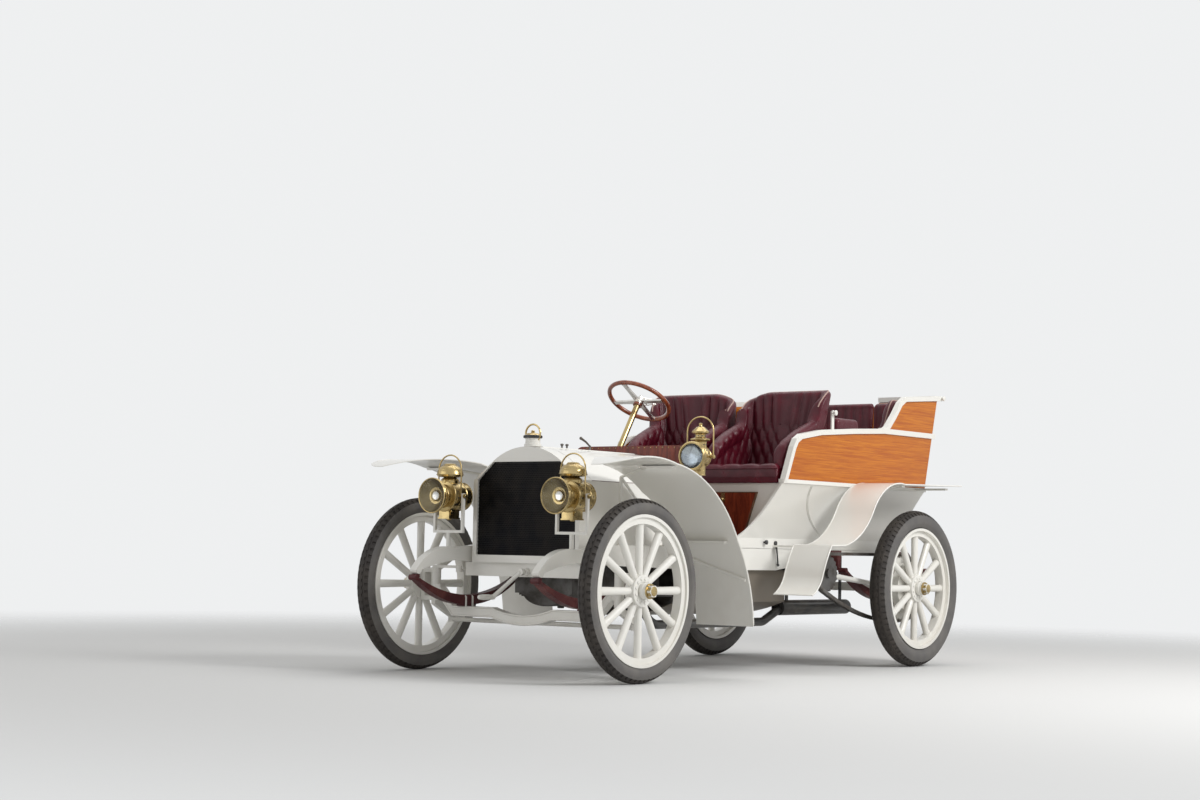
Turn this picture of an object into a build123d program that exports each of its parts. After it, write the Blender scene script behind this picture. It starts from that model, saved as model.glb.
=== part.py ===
from build123d import *
import os
from math import atan, cos, hypot, radians, sin

os.makedirs("parts", exist_ok=True)

# All sizes are in millimetres. X points to the car's left, Y to its rear and Z up.
# Every length along the car is a distance behind the front axle.

# Stance
wheelbase = 2740
half_track = 728
front_axle_y = -1385
seat_gap = 0.3

# Wheels: tyre outer radius and the radius of its round section
front_tyre_radius = 455
front_tyre_section = 45
rear_tyre_radius = 460
rear_tyre_section = 58
tyre_bed_depth = 4
rim_thickness = 7
rim_edge_height = 8
rim_edge_width = 6
felloe_depth = 32
felloe_width = 50
spoke_count = 12
spoke_root_radius = 18
spoke_tip_radius = 14
hub_flange_radius = 80
hub_flange_width = 50
hub_barrel_radius = 38
hub_barrel_out = 46
hub_bore_radius = 16
cap_across = 58
cap_length = 24
cap_taper = 4

# Chain drive
chain_x = half_track - 88
chain_width = 26
chain_height = 22
chain_sag = 46
rear_sprocket_radius = 190
front_sprocket_radius = 104
sprocket_thickness = 10
sprocket_tooth_height = 7
rear_tooth_count = 34
front_tooth_count = 19
countershaft_y = 1900
countershaft_z = 545
drum_radius = 150
drum_width = 44

# Frame rails
rail_inner_x = 380
rail_outer_x = 425
rail_top_z = 678
rail_front_bottom_z = 575
rail_middle_bottom_z = 556
rail_rear_bottom_z = 652
rail_rear_y = 3080
rail_foot_y = 100
rail_knee_y = 200
rail_dip_front_y = 900
rail_dip_rear_y = 1700
rail_tail_y = 2500
iron_tip_y = -386
iron_tip_z = 534
iron_tip_radius = 22
iron_root_y = -110
iron_root_top_z = 650
iron_root_low_z = 584
iron_top_bow = (86, 88)
iron_under_bow = (124, 26)

# Steering
kingpin_x = half_track - 118
tie_rod_z = 268
tie_rod_y = 130
tie_rod_radius = 12
yoke_reach = 86
drag_link_x = 451
drag_link_radius = 8
drop_arm_y = 800
drop_arm_length = 130
drop_arm_thickness = 10
drop_shaft_radius = 15
column_x = 300
column_radius = 17
wheel_hub_y = 1353
wheel_hub_z = 1509
column_lean = 32.2
steering_rim_radius = 180
steering_rim_section = 13

# The drag link hangs below the upper arm of the right-hand knuckle
drag_link_z = front_tyre_radius + yoke_reach - seat_gap - drag_link_radius - 2
drop_pivot_z = drag_link_z + drop_arm_length

# Radiator and bonnet: half widths and heights of the front outline
shell_half = 354
shell_bottom_z = 576
shoulder_z = 1004
chamfer_half = 230
chamfer_z = 1098
shell_top_z = 1176
shell_front_y = -8
shell_depth = 96
shell_border = 26
core_setback = 14
core_depth = 70
bonnet_rear_y = 900
panel_thickness = 4
panel_gap = 3

# Dash, floor and body
dash_half = 410
dash_corner_radius = 58
dash_front_y = 905
dash_thickness = 28
dash_top_z = 1224
sill_height = 57
floor_thickness = 22
heel_board_y = 1502
heel_board_half = 420
body_foot_x = 430
belt_x = 590
belt_z = 1042
body_wall = 18
wood_wall = 22
wood_top_x = 640
wood_top_z = 1604
wood_rear_foot_y = 3098
wood_rear_top_y = 3158
belt_rail_height = 22
rail_overhang = 8
moulding_depth = 30
moulding_proud = 12
moulding_tail = 22
door_half = 235
door_gap = 7
door_thickness = 28
hinge_stand_off = 10
hood_pin_radius = 11
hood_pin_length = 22
front_hood_pin_y = 1978
front_hood_pin_z = 1458
hood_upright_x = 611
hood_upright_thickness = 8
rear_hood_pin_y = 3206

# Seats
seat_inner_x = 28
seat_foot_outer_x = 538
seat_top_outer_x = 625
seat_front_y = 1512
seat_back_y = 1990
seat_top_z = 1590
seat_padding = 62
seat_cut_reach = 700
cushion_height = 76

# Mudguards
guard_thickness = 5
guard_outer_x = 850
front_guard_inner_x = 396
front_guard_foot_inner_x = 490
rear_guard_inner_x = 600

# Lamps
headlamp_x = 409
headlamp_front_y = -275
headlamp_z = 915
side_lamp_x = 486
side_lamp_y = 853
side_lamp_z = 1157
side_lamp_turn = 8


def across(y):
    """Plane that faces the front at a distance behind the front axle: local x is X, local y is Z."""
    return Plane(origin=(0, front_axle_y + y, 0), x_dir=(1, 0, 0), z_dir=(0, -1, 0))


def along(x):
    """Plane that faces the car's left: local x is the distance behind the front axle, local y is Z."""
    return Plane(origin=(x, front_axle_y, 0), x_dir=(0, 1, 0), z_dir=(1, 0, 0))


def level(z):
    """Level plane: local x is X, local y is the distance behind the front axle."""
    return Plane(origin=(0, front_axle_y, z), x_dir=(1, 0, 0), z_dir=(0, 0, 1))


def cross_axis(y, z):
    """Axis along X through a point of the car's side view."""
    return Axis((0, front_axle_y + y, z), (1, 0, 0))


def long_axis(x, z):
    """Axis along Y through a point of the car's front view."""
    return Axis((x, 0, z), (0, 1, 0))


def save(part, name):
    """Labels a finished piece and writes it to its file."""
    part.label = name
    export_step(part, f"parts/{name}.step")


def save_pair(left_part, name):
    """Writes a left piece and its mirror image on the right."""
    save(left_part, f"{name}_left")
    save(mirror(left_part, about=Plane.YZ), f"{name}_right")


# Wheels
def make_tyre(y, radius, section):
    """Round-section tyre of the left wheel, flattened where it beds on its rim."""
    rim_radius = radius - 2 * section + tyre_bed_depth
    with BuildPart() as tyre:
        with BuildSketch(across(y)):
            with Locations((half_track, 2 * radius - section)):
                Circle(section)
            with Locations((half_track, radius + rim_radius)):
                Rectangle(3 * section, 3 * section, align=(Align.CENTER, Align.MAX), mode=Mode.SUBTRACT)
            for side in (-1, 1):
                with Locations((half_track + side * section * 0.74, radius + rim_radius)):
                    Rectangle(section * 0.5, rim_edge_height + 1, align=(Align.CENTER, Align.MIN),
                              mode=Mode.SUBTRACT)
        revolve(axis=cross_axis(y, radius))
    return tyre.part


def make_wheel(y, radius, section):
    """Artillery wheel: steel rim, wooden felloe, tapered spokes, flanged hub and hexagon cap."""
    rim_radius = radius - 2 * section + tyre_bed_depth - seat_gap
    felloe_outer = rim_radius - rim_thickness
    felloe_inner = felloe_outer - felloe_depth
    half_rim = section * 0.74 + rim_edge_width / 2
    hub_face = half_track + hub_flange_width / 2
    with BuildPart() as wheel:
        with BuildSketch(across(y)):
            with Locations((half_track, radius + rim_radius - rim_thickness / 2)):
                Rectangle(2 * half_rim, rim_thickness)
            for side in (-1, 1):
                with Locations((half_track + side * (half_rim - rim_edge_width / 2), radius + rim_radius)):
                    Rectangle(rim_edge_width, rim_edge_height, align=(Align.CENTER, Align.MIN))
            with Locations((half_track, radius + felloe_outer)):
                Rectangle(felloe_width, felloe_depth, align=(Align.CENTER, Align.MAX))
        revolve(axis=cross_axis(y, radius))
        with BuildSketch(across(y)):
            with Locations((half_track, radius)):
                Rectangle(hub_flange_width, hub_flange_radius, align=(Align.CENTER, Align.MIN))
            with Locations((hub_face, radius)):
                Rectangle(hub_barrel_out, hub_barrel_radius, align=(Align.MIN, Align.MIN))
            with Locations((hub_face, radius)):
                Rectangle(2 * hub_flange_width, hub_bore_radius, mode=Mode.SUBTRACT,
                          align=(Align.MAX, Align.MIN))
        revolve(axis=cross_axis(y, radius))
        for index in range(spoke_count):
            turn = 360 / spoke_count * index
            hub_centre = Plane(origin=(half_track, front_axle_y + y, radius), x_dir=(1, 0, 0),
                               z_dir=(0, sin(radians(turn)), cos(radians(turn))))
            with BuildSketch(hub_centre.offset(hub_flange_radius - 6)):
                Ellipse(spoke_root_radius * 1.05, spoke_root_radius)
            with BuildSketch(hub_centre.offset(felloe_inner + 6)):
                Ellipse(spoke_tip_radius * 1.2, spoke_tip_radius)
            loft()
        with BuildSketch(along(hub_face + hub_barrel_out)):
            with Locations((y, radius)):
                RegularPolygon(cap_across / 2, 6, major_radius=False)
        extrude(amount=cap_length, taper=cap_taper)
    return wheel.part


def sprocket_outline(centre_y, centre_z, radius, teeth):
    """Adds a toothed disc outline to the sketch that is open."""
    pitch = 360 / teeth
    with Locations((centre_y, centre_z)):
        Circle(radius - sprocket_tooth_height)
        with PolarLocations(radius - sprocket_tooth_height - 2, teeth):
            Trapezoid(2 * radius * sin(radians(pitch / 2)) * 0.62, sprocket_tooth_height + 2, 68,
                      rotation=-90, align=(Align.CENTER, Align.MIN))


def make_rear_drive():
    """Brake drum and chain sprocket that turn with the left rear wheel."""
    wheel_face = half_track - hub_flange_width / 2
    with BuildPart() as drive:
        with BuildSketch(along(wheel_face)):
            with Locations((wheelbase, rear_tyre_radius)):
                Circle(drum_radius)
                Circle(hub_bore_radius + 24, mode=Mode.SUBTRACT)
        extrude(amount=-drum_width)
        with BuildSketch(along(chain_x - sprocket_thickness / 2)):
            sprocket_outline(wheelbase, rear_tyre_radius, rear_sprocket_radius, rear_tooth_count)
            with Locations((wheelbase, rear_tyre_radius)):
                Circle(hub_bore_radius + 24, mode=Mode.SUBTRACT)
        extrude(amount=sprocket_thickness)
        with BuildSketch(along(chain_x + sprocket_thickness / 2)):
            with Locations((wheelbase, rear_tyre_radius)):
                Circle(drum_radius - 20)
                Circle(hub_bore_radius + 24, mode=Mode.SUBTRACT)
        extrude(amount=wheel_face - drum_width - chain_x - sprocket_thickness / 2)
    return drive.part


# Frame
def rail_outline():
    """Side outline of one frame rail with its curved dumb iron."""
    with BuildLine() as edge:
        iron_top = ThreePointArc(*iron_arc)
        rail = Polyline(iron_top @ 1, (rail_knee_y, rail_top_z), (rail_rear_y, rail_top_z),
                        (rail_rear_y, rail_rear_bottom_z), (rail_tail_y, rail_rear_bottom_z),
                        (rail_dip_rear_y, rail_middle_bottom_z), (rail_dip_front_y, rail_middle_bottom_z),
                        (rail_foot_y, rail_front_bottom_z), (iron_root_y, iron_root_low_z))
        iron_under = ThreePointArc(rail @ 1, (iron_tip_y + iron_under_bow[0], iron_tip_z + iron_under_bow[1]),
                                   (iron_tip_y + iron_tip_radius, iron_tip_z))
        RadiusArc(iron_under @ 1, iron_top @ 0, iron_tip_radius, short_sagitta=True)
    return edge.line


def arc_height(first, middle, last, y):
    """Height at a distance of the upper side of the circle through three points."""
    (y1, z1), (y2, z2), (y3, z3) = first, middle, last
    turn = 2 * (y1 * (z2 - z3) + y2 * (z3 - z1) + y3 * (z1 - z2))
    s1, s2, s3 = y1 * y1 + z1 * z1, y2 * y2 + z2 * z2, y3 * y3 + z3 * z3
    centre_y = (s1 * (z2 - z3) + s2 * (z3 - z1) + s3 * (z1 - z2)) / turn
    centre_z = (s1 * (y3 - y2) + s2 * (y1 - y3) + s3 * (y2 - y1)) / turn
    radius = hypot(y1 - centre_y, z1 - centre_z)
    return centre_z + (radius * radius - (y - centre_y) ** 2) ** 0.5


iron_arc = (
    (iron_tip_y - iron_tip_radius, iron_tip_z),
    (iron_tip_y + iron_top_bow[0], iron_tip_z + iron_top_bow[1]),
    (iron_root_y, iron_root_top_z),
)


def iron_height(y):
    """Height of the dumb iron's upper side at a distance."""
    return arc_height(*iron_arc, y)


def rail_foot(y):
    """Height of the rail's underside between the dumb iron and the front spring's shackle."""
    share = (y - iron_root_y) / (rail_foot_y - iron_root_y)
    return iron_root_low_z + share * (rail_front_bottom_z - iron_root_low_z)


cross_members = (
    # distance behind the front axle, width, bottom height, depth
    (40, 44, 505, shell_bottom_z - seat_gap - 505),
    (930, 50, 590, 60),
    (1500, 50, 590, 60),
    (2010, 50, 590, 60),
    (2600, 50, 655, 22),
    (3040, 50, 655, 22),
)


def make_frame():
    """Two rails with dumb irons and the cross members between them."""
    with BuildPart() as frame:
        with BuildSketch(along(rail_inner_x)):
            make_face(rail_outline())
            with Locations((drop_arm_y, drop_pivot_z)):
                Circle(drop_shaft_radius + seat_gap, mode=Mode.SUBTRACT)
        extrude(amount=rail_outer_x - rail_inner_x)
        mirror(about=Plane.YZ)
        for y, width, bottom, depth in cross_members:
            with BuildSketch(level(bottom)):
                with Locations((0, y)):
                    Rectangle(2 * (rail_inner_x - seat_gap), width)
            extrude(amount=depth)
        front_y, front_width, front_bottom, front_depth = cross_members[0]
        with BuildSketch(level(front_bottom)):
            with Locations((rail_inner_x + 10, front_y), (-rail_inner_x - 10, front_y)):
                Rectangle(60, front_width)
        extrude(amount=rail_foot(front_y + front_width / 2) - seat_gap - front_bottom)
    return frame.part


# Axles and springs
axle_z = 318
axle_end_rise = 112
axle_dip_z = 284
axle_depth = 54
axle_width = 46
axle_end_x = kingpin_x - 35


def make_front_axle():
    """Forged front axle beam with a dip in its middle and forked ends."""
    low, high = -axle_depth / 2, axle_depth / 2
    with BuildPart() as axle:
        with BuildSketch(across(0)):
            with BuildLine():
                for level_z in (low, high):
                    Line((-axle_end_x, axle_z + level_z + axle_end_rise), (-470, axle_z + level_z))
                    Line((-470, axle_z + level_z), (-200, axle_z + level_z))
                    ThreePointArc((-200, axle_z + level_z), (0, axle_dip_z + level_z),
                                  (200, axle_z + level_z))
                    Line((200, axle_z + level_z), (470, axle_z + level_z))
                    Line((470, axle_z + level_z), (axle_end_x, axle_z + level_z + axle_end_rise))
                for side in (-1, 1):
                    Line((side * axle_end_x, axle_z + low + axle_end_rise),
                         (side * axle_end_x, axle_z + high + axle_end_rise))
            make_face()
        extrude(amount=axle_width / 2, both=True)
        for side in (-1, 1):
            with BuildSketch(level(front_tyre_radius - 62)):
                with Locations((side * kingpin_x, 0)):
                    Circle(26)
            extrude(amount=124)
            with BuildSketch(across(0)):
                with Locations((side * (axle_end_x + 6), axle_z + axle_end_rise)):
                    Rectangle(40, axle_depth - 2)
            extrude(amount=20, both=True)
    return axle.part


front_spring_half = 400
front_spring_eye_z = 494
front_spring_low_z = 352
spring_pad = 40


def spring_leaf_pack(centre_y, half, eye_z, low_z, centre_thickness, end_thickness):
    """Side outline of a curved leaf pack, thick over its axle and thin at its eyes."""
    with BuildLine() as edge:
        upper = ThreePointArc((centre_y - half, eye_z + end_thickness / 2),
                              (centre_y, low_z + centre_thickness),
                              (centre_y + half, eye_z + end_thickness / 2))
        lower = ThreePointArc((centre_y + half, eye_z - end_thickness / 2), (centre_y, low_z),
                              (centre_y - half, eye_z - end_thickness / 2))
        Line(upper @ 1, lower @ 0)
        Line(lower @ 1, upper @ 0)
    return edge.line


def rear_rail_bottom(y):
    """Height of the rail's underside where it rises towards the rear."""
    share = (y - rail_dip_rear_y) / (rail_tail_y - rail_dip_rear_y)
    return rail_middle_bottom_z + share * (rail_rear_bottom_z - rail_middle_bottom_z)


def rail_bottom(y):
    """Height of the rail's underside between its front foot and its deepest stretch."""
    share = (y - rail_foot_y) / (rail_dip_front_y - rail_foot_y)
    return rail_front_bottom_z + share * (rail_middle_bottom_z - rail_front_bottom_z)


def make_front_springs():
    """Front leaf springs in their gaiters, with eyes and rear shackles."""
    spring_x = (rail_inner_x + rail_outer_x) / 2
    eye_radius = 15
    with BuildPart() as springs:
        with BuildSketch(along(spring_x)):
            make_face(spring_leaf_pack(0, front_spring_half, front_spring_eye_z, front_spring_low_z, 52, 14))
            with Locations((-front_spring_half, front_spring_eye_z), (front_spring_half, front_spring_eye_z)):
                Circle(eye_radius)
            with Locations((0, axle_z + axle_depth / 2 + seat_gap)):
                Rectangle(2 * spring_pad, 20, align=(Align.CENTER, Align.MIN))
        extrude(amount=25, both=True)
        with BuildSketch(along(spring_x)):
            with Locations((front_spring_half, front_spring_eye_z)):
                Rectangle(18, rail_bottom(front_spring_half + 9) - seat_gap - front_spring_eye_z,
                          align=(Align.CENTER, Align.MIN))
            with Locations((iron_tip_y, front_spring_eye_z)):
                Rectangle(22, iron_tip_z - iron_tip_radius - seat_gap - front_spring_eye_z,
                          align=(Align.CENTER, Align.MIN))
        extrude(amount=18, both=True)
        mirror(about=Plane.YZ)
    return springs.part


rear_axle_half = 25
rear_spring_x = 520
rear_spring_half = 470
rear_spring_eye_z = 560


def make_rear_axle():
    """Dead rear axle beam with its stub ends and two radius rods from the countershaft."""
    stub_end = half_track + hub_flange_width / 2
    with BuildPart() as axle:
        with BuildSketch(along(0)):
            with Locations((wheelbase, rear_tyre_radius)):
                Rectangle(2 * rear_axle_half, 2 * rear_axle_half)
        extrude(amount=chain_x - 30, both=True)
        with BuildSketch(along(0)):
            with Locations((wheelbase, rear_tyre_radius)):
                Circle(hub_bore_radius - seat_gap)
        extrude(amount=stub_end - seat_gap, both=True)
    return axle.part


radius_rod_x = 585


def make_radius_rods():
    """Tapered rods that hold the rear axle square and tension the chains."""
    start = Vector(radius_rod_x, front_axle_y + countershaft_y, countershaft_z)
    end = Vector(radius_rod_x, front_axle_y + wheelbase, rear_tyre_radius)
    line = (end - start).normalized()
    boss = 34
    with BuildPart() as rods:
        with BuildSketch(Plane(origin=start + line * boss, z_dir=line)):
            Circle(17)
        with BuildSketch(Plane(origin=end - line * (boss + 6), z_dir=line)):
            Circle(13)
        loft()
        with BuildSketch(along(radius_rod_x)):
            with Locations((countershaft_y, countershaft_z), (wheelbase, rear_tyre_radius)):
                Circle(boss + 6)
            with Locations((countershaft_y, countershaft_z)):
                Circle(26 + seat_gap, mode=Mode.SUBTRACT)
            with Locations((wheelbase, rear_tyre_radius)):
                Circle(rear_axle_half * 1.415 + seat_gap, mode=Mode.SUBTRACT)
        extrude(amount=11, both=True)
        mirror(about=Plane.YZ)
    return rods.part


def make_rear_springs():
    """Rear leaf springs below the axle, with hangers on the frame rails."""
    axle_bottom = rear_tyre_radius - rear_axle_half
    low_z = axle_bottom - 4 - 50
    with BuildPart() as springs:
        with BuildSketch(along(rear_spring_x)):
            make_face(spring_leaf_pack(wheelbase, rear_spring_half, rear_spring_eye_z, low_z, 50, 14))
            for side in (-1, 1):
                with Locations((wheelbase + side * rear_spring_half, rear_spring_eye_z)):
                    Circle(15)
            with Locations((wheelbase, axle_bottom - seat_gap)):
                Rectangle(2 * spring_pad, 20, align=(Align.CENTER, Align.MAX))
        extrude(amount=25, both=True)
        for side in (-1, 1):
            eye_y = wheelbase + side * rear_spring_half
            hanger_y = min(eye_y, rail_rear_y - 30)
            with BuildSketch(along(rail_outer_x + seat_gap)):
                with BuildLine():
                    Polyline((eye_y - 14, rear_spring_eye_z), (hanger_y - 22, rail_top_z - 24),
                             (hanger_y + 22, rail_top_z - 4), (eye_y + 14, rear_spring_eye_z), close=True)
                make_face()
            extrude(amount=rear_spring_x - 25 - rail_outer_x)
        mirror(about=Plane.YZ)
    return springs.part


# Drive
def chain_loop(offset_out):
    """Closed path of one chain: two sprocket arcs, a straight top run and a sagging lower run."""
    reach = wheelbase - countershaft_y
    drop = countershaft_z - rear_tyre_radius
    small = front_sprocket_radius + offset_out
    large = rear_sprocket_radius + offset_out
    span = hypot(reach, drop)
    lean = -Vector(reach, -drop).get_angle(Vector(1, 0))
    spread = (large - small) / span
    upper = 90 + lean + (spread * 57.2958)
    lower = 270 + lean - (spread * 57.2958)
    front = Vector(countershaft_y, countershaft_z)
    rear = Vector(wheelbase, rear_tyre_radius)

    def on_circle(centre, radius, angle):
        return centre + Vector(radius * cos(radians(angle)), radius * sin(radians(angle)))

    top_front = on_circle(front, small, upper)
    top_rear = on_circle(rear, large, upper)
    low_front = on_circle(front, small, lower)
    low_rear = on_circle(rear, large, lower)
    low_middle = (low_front + low_rear) * 0.5 - Vector(0, chain_sag)
    with BuildLine() as loop:
        Line(top_front, top_rear)
        ThreePointArc(top_rear, rear + Vector(large, 0), low_rear)
        ThreePointArc(low_rear, low_middle, low_front)
        ThreePointArc(low_front, front - Vector(small, 0), top_front)
    return loop.line


def make_chains():
    """Two roller chains, each one closed loop round its sprockets."""
    with BuildPart() as chains:
        with BuildSketch(along(chain_x)):
            make_face(chain_loop(chain_height / 2 + seat_gap))
            make_face(chain_loop(seat_gap), mode=Mode.SUBTRACT)
        extrude(amount=chain_width / 2, both=True)
        mirror(about=Plane.YZ)
    return chains.part


def make_gearbox():
    """Gearbox block, countershaft tubes and the two front sprockets."""
    with BuildPart() as gearbox:
        with BuildSketch(level(430)):
            with Locations((0, countershaft_y - 160)):
                Rectangle(380, 620)
        extrude(amount=cross_members[2][2] - seat_gap - 430)
        with BuildSketch(along(0)):
            with Locations((countershaft_y, countershaft_z)):
                Circle(26)
        extrude(amount=chain_x + 20, both=True)
        for side in (-1, 1):
            with BuildSketch(along(side * chain_x)):
                sprocket_outline(countershaft_y, countershaft_z, front_sprocket_radius, front_tooth_count)
            extrude(amount=sprocket_thickness / 2, both=True)
            with BuildSketch(along(side * (rail_inner_x + 2))):
                with BuildLine():
                    low = ThreePointArc((countershaft_y - 36, countershaft_z), (countershaft_y, countershaft_z - 36),
                                        (countershaft_y + 36, countershaft_z))
                    top_rear = (countershaft_y + 36, rear_rail_bottom(countershaft_y + 36) - seat_gap)
                    top_front = (countershaft_y - 36, rear_rail_bottom(countershaft_y - 36) - seat_gap)
                    Polyline(low @ 1, top_rear, top_front, low @ 0)
                make_face()
            extrude(amount=side * (rail_outer_x - rail_inner_x - 4))
    return gearbox.part


def make_engine():
    """Engine as one plain block on the frame."""
    with BuildPart() as engine:
        with BuildSketch(level(420)):
            with Locations((0, 430)):
                Rectangle(380, 560)
        extrude(amount=560)
        for y in (240, 620):
            with BuildSketch(level(596)):
                with Locations((0, y)):
                    Rectangle(2 * (rail_inner_x - seat_gap), 40)
            extrude(amount=44)
    return engine.part


shield_half = 396
shield_front_y = 760
shield_rear_y = 1840
shield_top_z = rail_middle_bottom_z - seat_gap
shield_wall_z = 380
shield_bottom_z = 300
shield_sheet = 5


def make_undershield():
    """Deep sheet pan below the engine and gearbox, hung from the rails."""
    with BuildPart() as shield:
        with BuildSketch(across(shield_rear_y)):
            with BuildLine():
                wall = Line((-shield_half, shield_top_z), (-shield_half, shield_wall_z))
                bottom = ThreePointArc(wall @ 1, (0, shield_bottom_z), (shield_half, shield_wall_z))
                inner_x = shield_half - shield_sheet
                rim = Polyline(bottom @ 1, (shield_half, shield_top_z), (inner_x, shield_top_z),
                               (inner_x, shield_wall_z + 2))
                inner = ThreePointArc(rim @ 1, (0, shield_bottom_z + shield_sheet), (-inner_x, shield_wall_z + 2))
                Polyline(inner @ 1, (-inner_x, shield_top_z), (-shield_half, shield_top_z))
            make_face()
        extrude(amount=shield_rear_y - shield_front_y)
    return shield.part


exhaust_x = 300
pipe_low_z = 262
silencer_z = 340
silencer_front_y = 1920
silencer_length = 740
silencer_radius = 44


def make_exhaust():
    """Exhaust pipe below the shield and its long silencer ahead of the rear axle."""
    pipe_path = ((230, 560, 470), (exhaust_x, 700, pipe_low_z), (exhaust_x, 1760, pipe_low_z),
                 (exhaust_x, silencer_front_y + 30, silencer_z), (exhaust_x, silencer_front_y + 140, silencer_z))
    points = [Vector(x, front_axle_y + y, z) for x, y, z in pipe_path]
    with BuildPart() as exhaust:
        with BuildLine() as route:
            FilletPolyline(*points, radius=90)
        with BuildSketch(Plane(origin=route.line @ 0, z_dir=route.line % 0)):
            Circle(24)
        sweep()
        with BuildSketch(across(silencer_front_y)):
            with Locations((exhaust_x, silencer_z)):
                Circle(silencer_radius)
        extrude(amount=-silencer_length)
        for y, width, bottom, depth in cross_members[3:5]:
            with BuildSketch(along(exhaust_x)):
                with Locations((y, silencer_z)):
                    Rectangle(24, bottom - silencer_z - seat_gap, align=(Align.CENTER, Align.MIN))
            extrude(amount=4, both=True)
    return exhaust.part


def make_crank():
    """Starting handle below the radiator, with its shaft, arm and grip."""
    with BuildPart() as crank:
        with BuildSketch(across(18 - seat_gap)):
            with Locations((0, 531)):
                Circle(20)
        extrude(amount=60)
        with BuildSketch(across(-30)):
            with BuildLine():
                Polyline((8, 546), (-190, 410), (-170, 385), (16, 512), close=True)
            make_face()
        extrude(amount=13)
        with BuildSketch(across(-43)):
            with Locations((-180, 398)):
                Circle(15)
        extrude(amount=110)
    return crank.part


# Front
def front_outline(inset, top_rise):
    """Front outline shared by the radiator and the bonnet, drawn inset from the shell."""
    half = shell_half - inset
    shoulder = shoulder_z + top_rise * 0.2
    with BuildLine() as edge:
        Line((-half, shell_bottom_z + inset), (half, shell_bottom_z + inset))
        Line((half, shell_bottom_z + inset), (half, shoulder - inset * 0.3))
        Line((half, shoulder - inset * 0.3), (chamfer_half - inset * 0.4, chamfer_z - inset + top_rise * 0.6))
        ThreePointArc((chamfer_half - inset * 0.4, chamfer_z - inset + top_rise * 0.6),
                      (0, shell_top_z - inset + top_rise),
                      (-chamfer_half + inset * 0.4, chamfer_z - inset + top_rise * 0.6))
        Line((-chamfer_half + inset * 0.4, chamfer_z - inset + top_rise * 0.6), (-half, shoulder - inset * 0.3))
        Line((-half, shoulder - inset * 0.3), (-half, shell_bottom_z + inset))
    return edge.line


core_bottom_z = 615
core_top_z = 1098


def core_outline(clear):
    """Outline of the honeycomb core with its cut upper corners."""
    half = shell_half - shell_border - clear
    with BuildLine() as edge:
        Polyline((-half, core_bottom_z + clear), (half, core_bottom_z + clear), (half, shoulder_z - clear / 2),
                 (chamfer_half - 8, core_top_z - clear), (-chamfer_half + 8, core_top_z - clear),
                 (-half, shoulder_z - clear / 2), close=True)
    return edge.line


def make_radiator_shell():
    """White radiator shell with an opening for the core, closed at its back."""
    with BuildPart() as shell:
        with BuildSketch(across(shell_front_y + shell_depth)):
            make_face(front_outline(0, 0))
        extrude(amount=shell_depth)
        with BuildSketch(across(shell_front_y)):
            make_face(core_outline(0))
        extrude(amount=-(core_setback + core_depth), mode=Mode.SUBTRACT)
    return shell.part


def make_radiator_core():
    """Honeycomb core, set back in its shell, with the faint lines of its rows."""
    with BuildPart() as core:
        with BuildSketch(across(shell_front_y + core_setback + core_depth - seat_gap)):
            make_face(core_outline(seat_gap))
        extrude(amount=core_depth)
    return core.part


def make_radiator_cap():
    """Brass filler neck and cap with its large ring."""
    neck_y = shell_front_y + shell_depth / 2
    with BuildPart() as cap:
        with BuildSketch(Plane(origin=(0, front_axle_y + neck_y, 0), x_dir=(1, 0, 0), z_dir=(0, -1, 0))):
            with BuildLine():
                Polyline((0, shell_top_z + seat_gap), (44, shell_top_z + seat_gap), (44, shell_top_z + 12),
                         (38, shell_top_z + 18), (38, shell_top_z + 40), (46, shell_top_z + 44),
                         (46, shell_top_z + 58), (20, shell_top_z + 70), (0, shell_top_z + 70), close=True)
            make_face()
        revolve(axis=Axis((0, front_axle_y + neck_y, 0), (0, 0, 1)))
        with BuildSketch(level(shell_top_z + 68)):
            with Locations((48, neck_y)):
                Circle(5)
        revolve(axis=Axis((0, front_axle_y + neck_y, shell_top_z + 68), (0, 1, 0)))
    return cap.part


hinge_pin_radius = 3.5
hinge_barrel_radius = 6
lid_hinge_x = 14
lid_hinge_z = shell_top_z - 1
lid_end_margin = 9
lid_sheet_x = 24


def make_bonnet_sides():
    """Fixed bonnet sides below the shoulders, with their foot flanges, and the hinge strip along the top."""
    start = shell_front_y + shell_depth + seat_gap
    length = bonnet_rear_y - start
    with BuildPart() as sides:
        with BuildSketch(across(bonnet_rear_y)):
            with BuildLine():
                Polyline((shell_half - 2, shoulder_z - panel_gap), (shell_half - 2 - panel_thickness, shoulder_z - panel_gap),
                         (shell_half - 2 - panel_thickness, rail_top_z + seat_gap),
                         (rail_inner_x + 8, rail_top_z + seat_gap),
                         (rail_inner_x + 8, rail_top_z + seat_gap + panel_thickness),
                         (shell_half - 2, rail_top_z + seat_gap + panel_thickness), close=True)
            make_face()
        extrude(amount=length)
        with BuildSketch(across(bonnet_rear_y)):
            with Locations((0, lid_hinge_z - 4)):
                Rectangle(5, 12, align=(Align.MIN, Align.CENTER))
        extrude(amount=length)
        for edge_y in (bonnet_rear_y, start + 6):
            with BuildSketch(across(edge_y)):
                with Locations((0, lid_hinge_z)):
                    Rectangle(lid_hinge_x + 5, 9, align=(Align.MIN, Align.CENTER))
            extrude(amount=6)
        with BuildSketch(across(bonnet_rear_y)):
            with Locations((lid_hinge_x, lid_hinge_z)):
                Circle(hinge_pin_radius)
        extrude(amount=length)
        mirror(about=Plane.YZ)
    return sides.part


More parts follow.
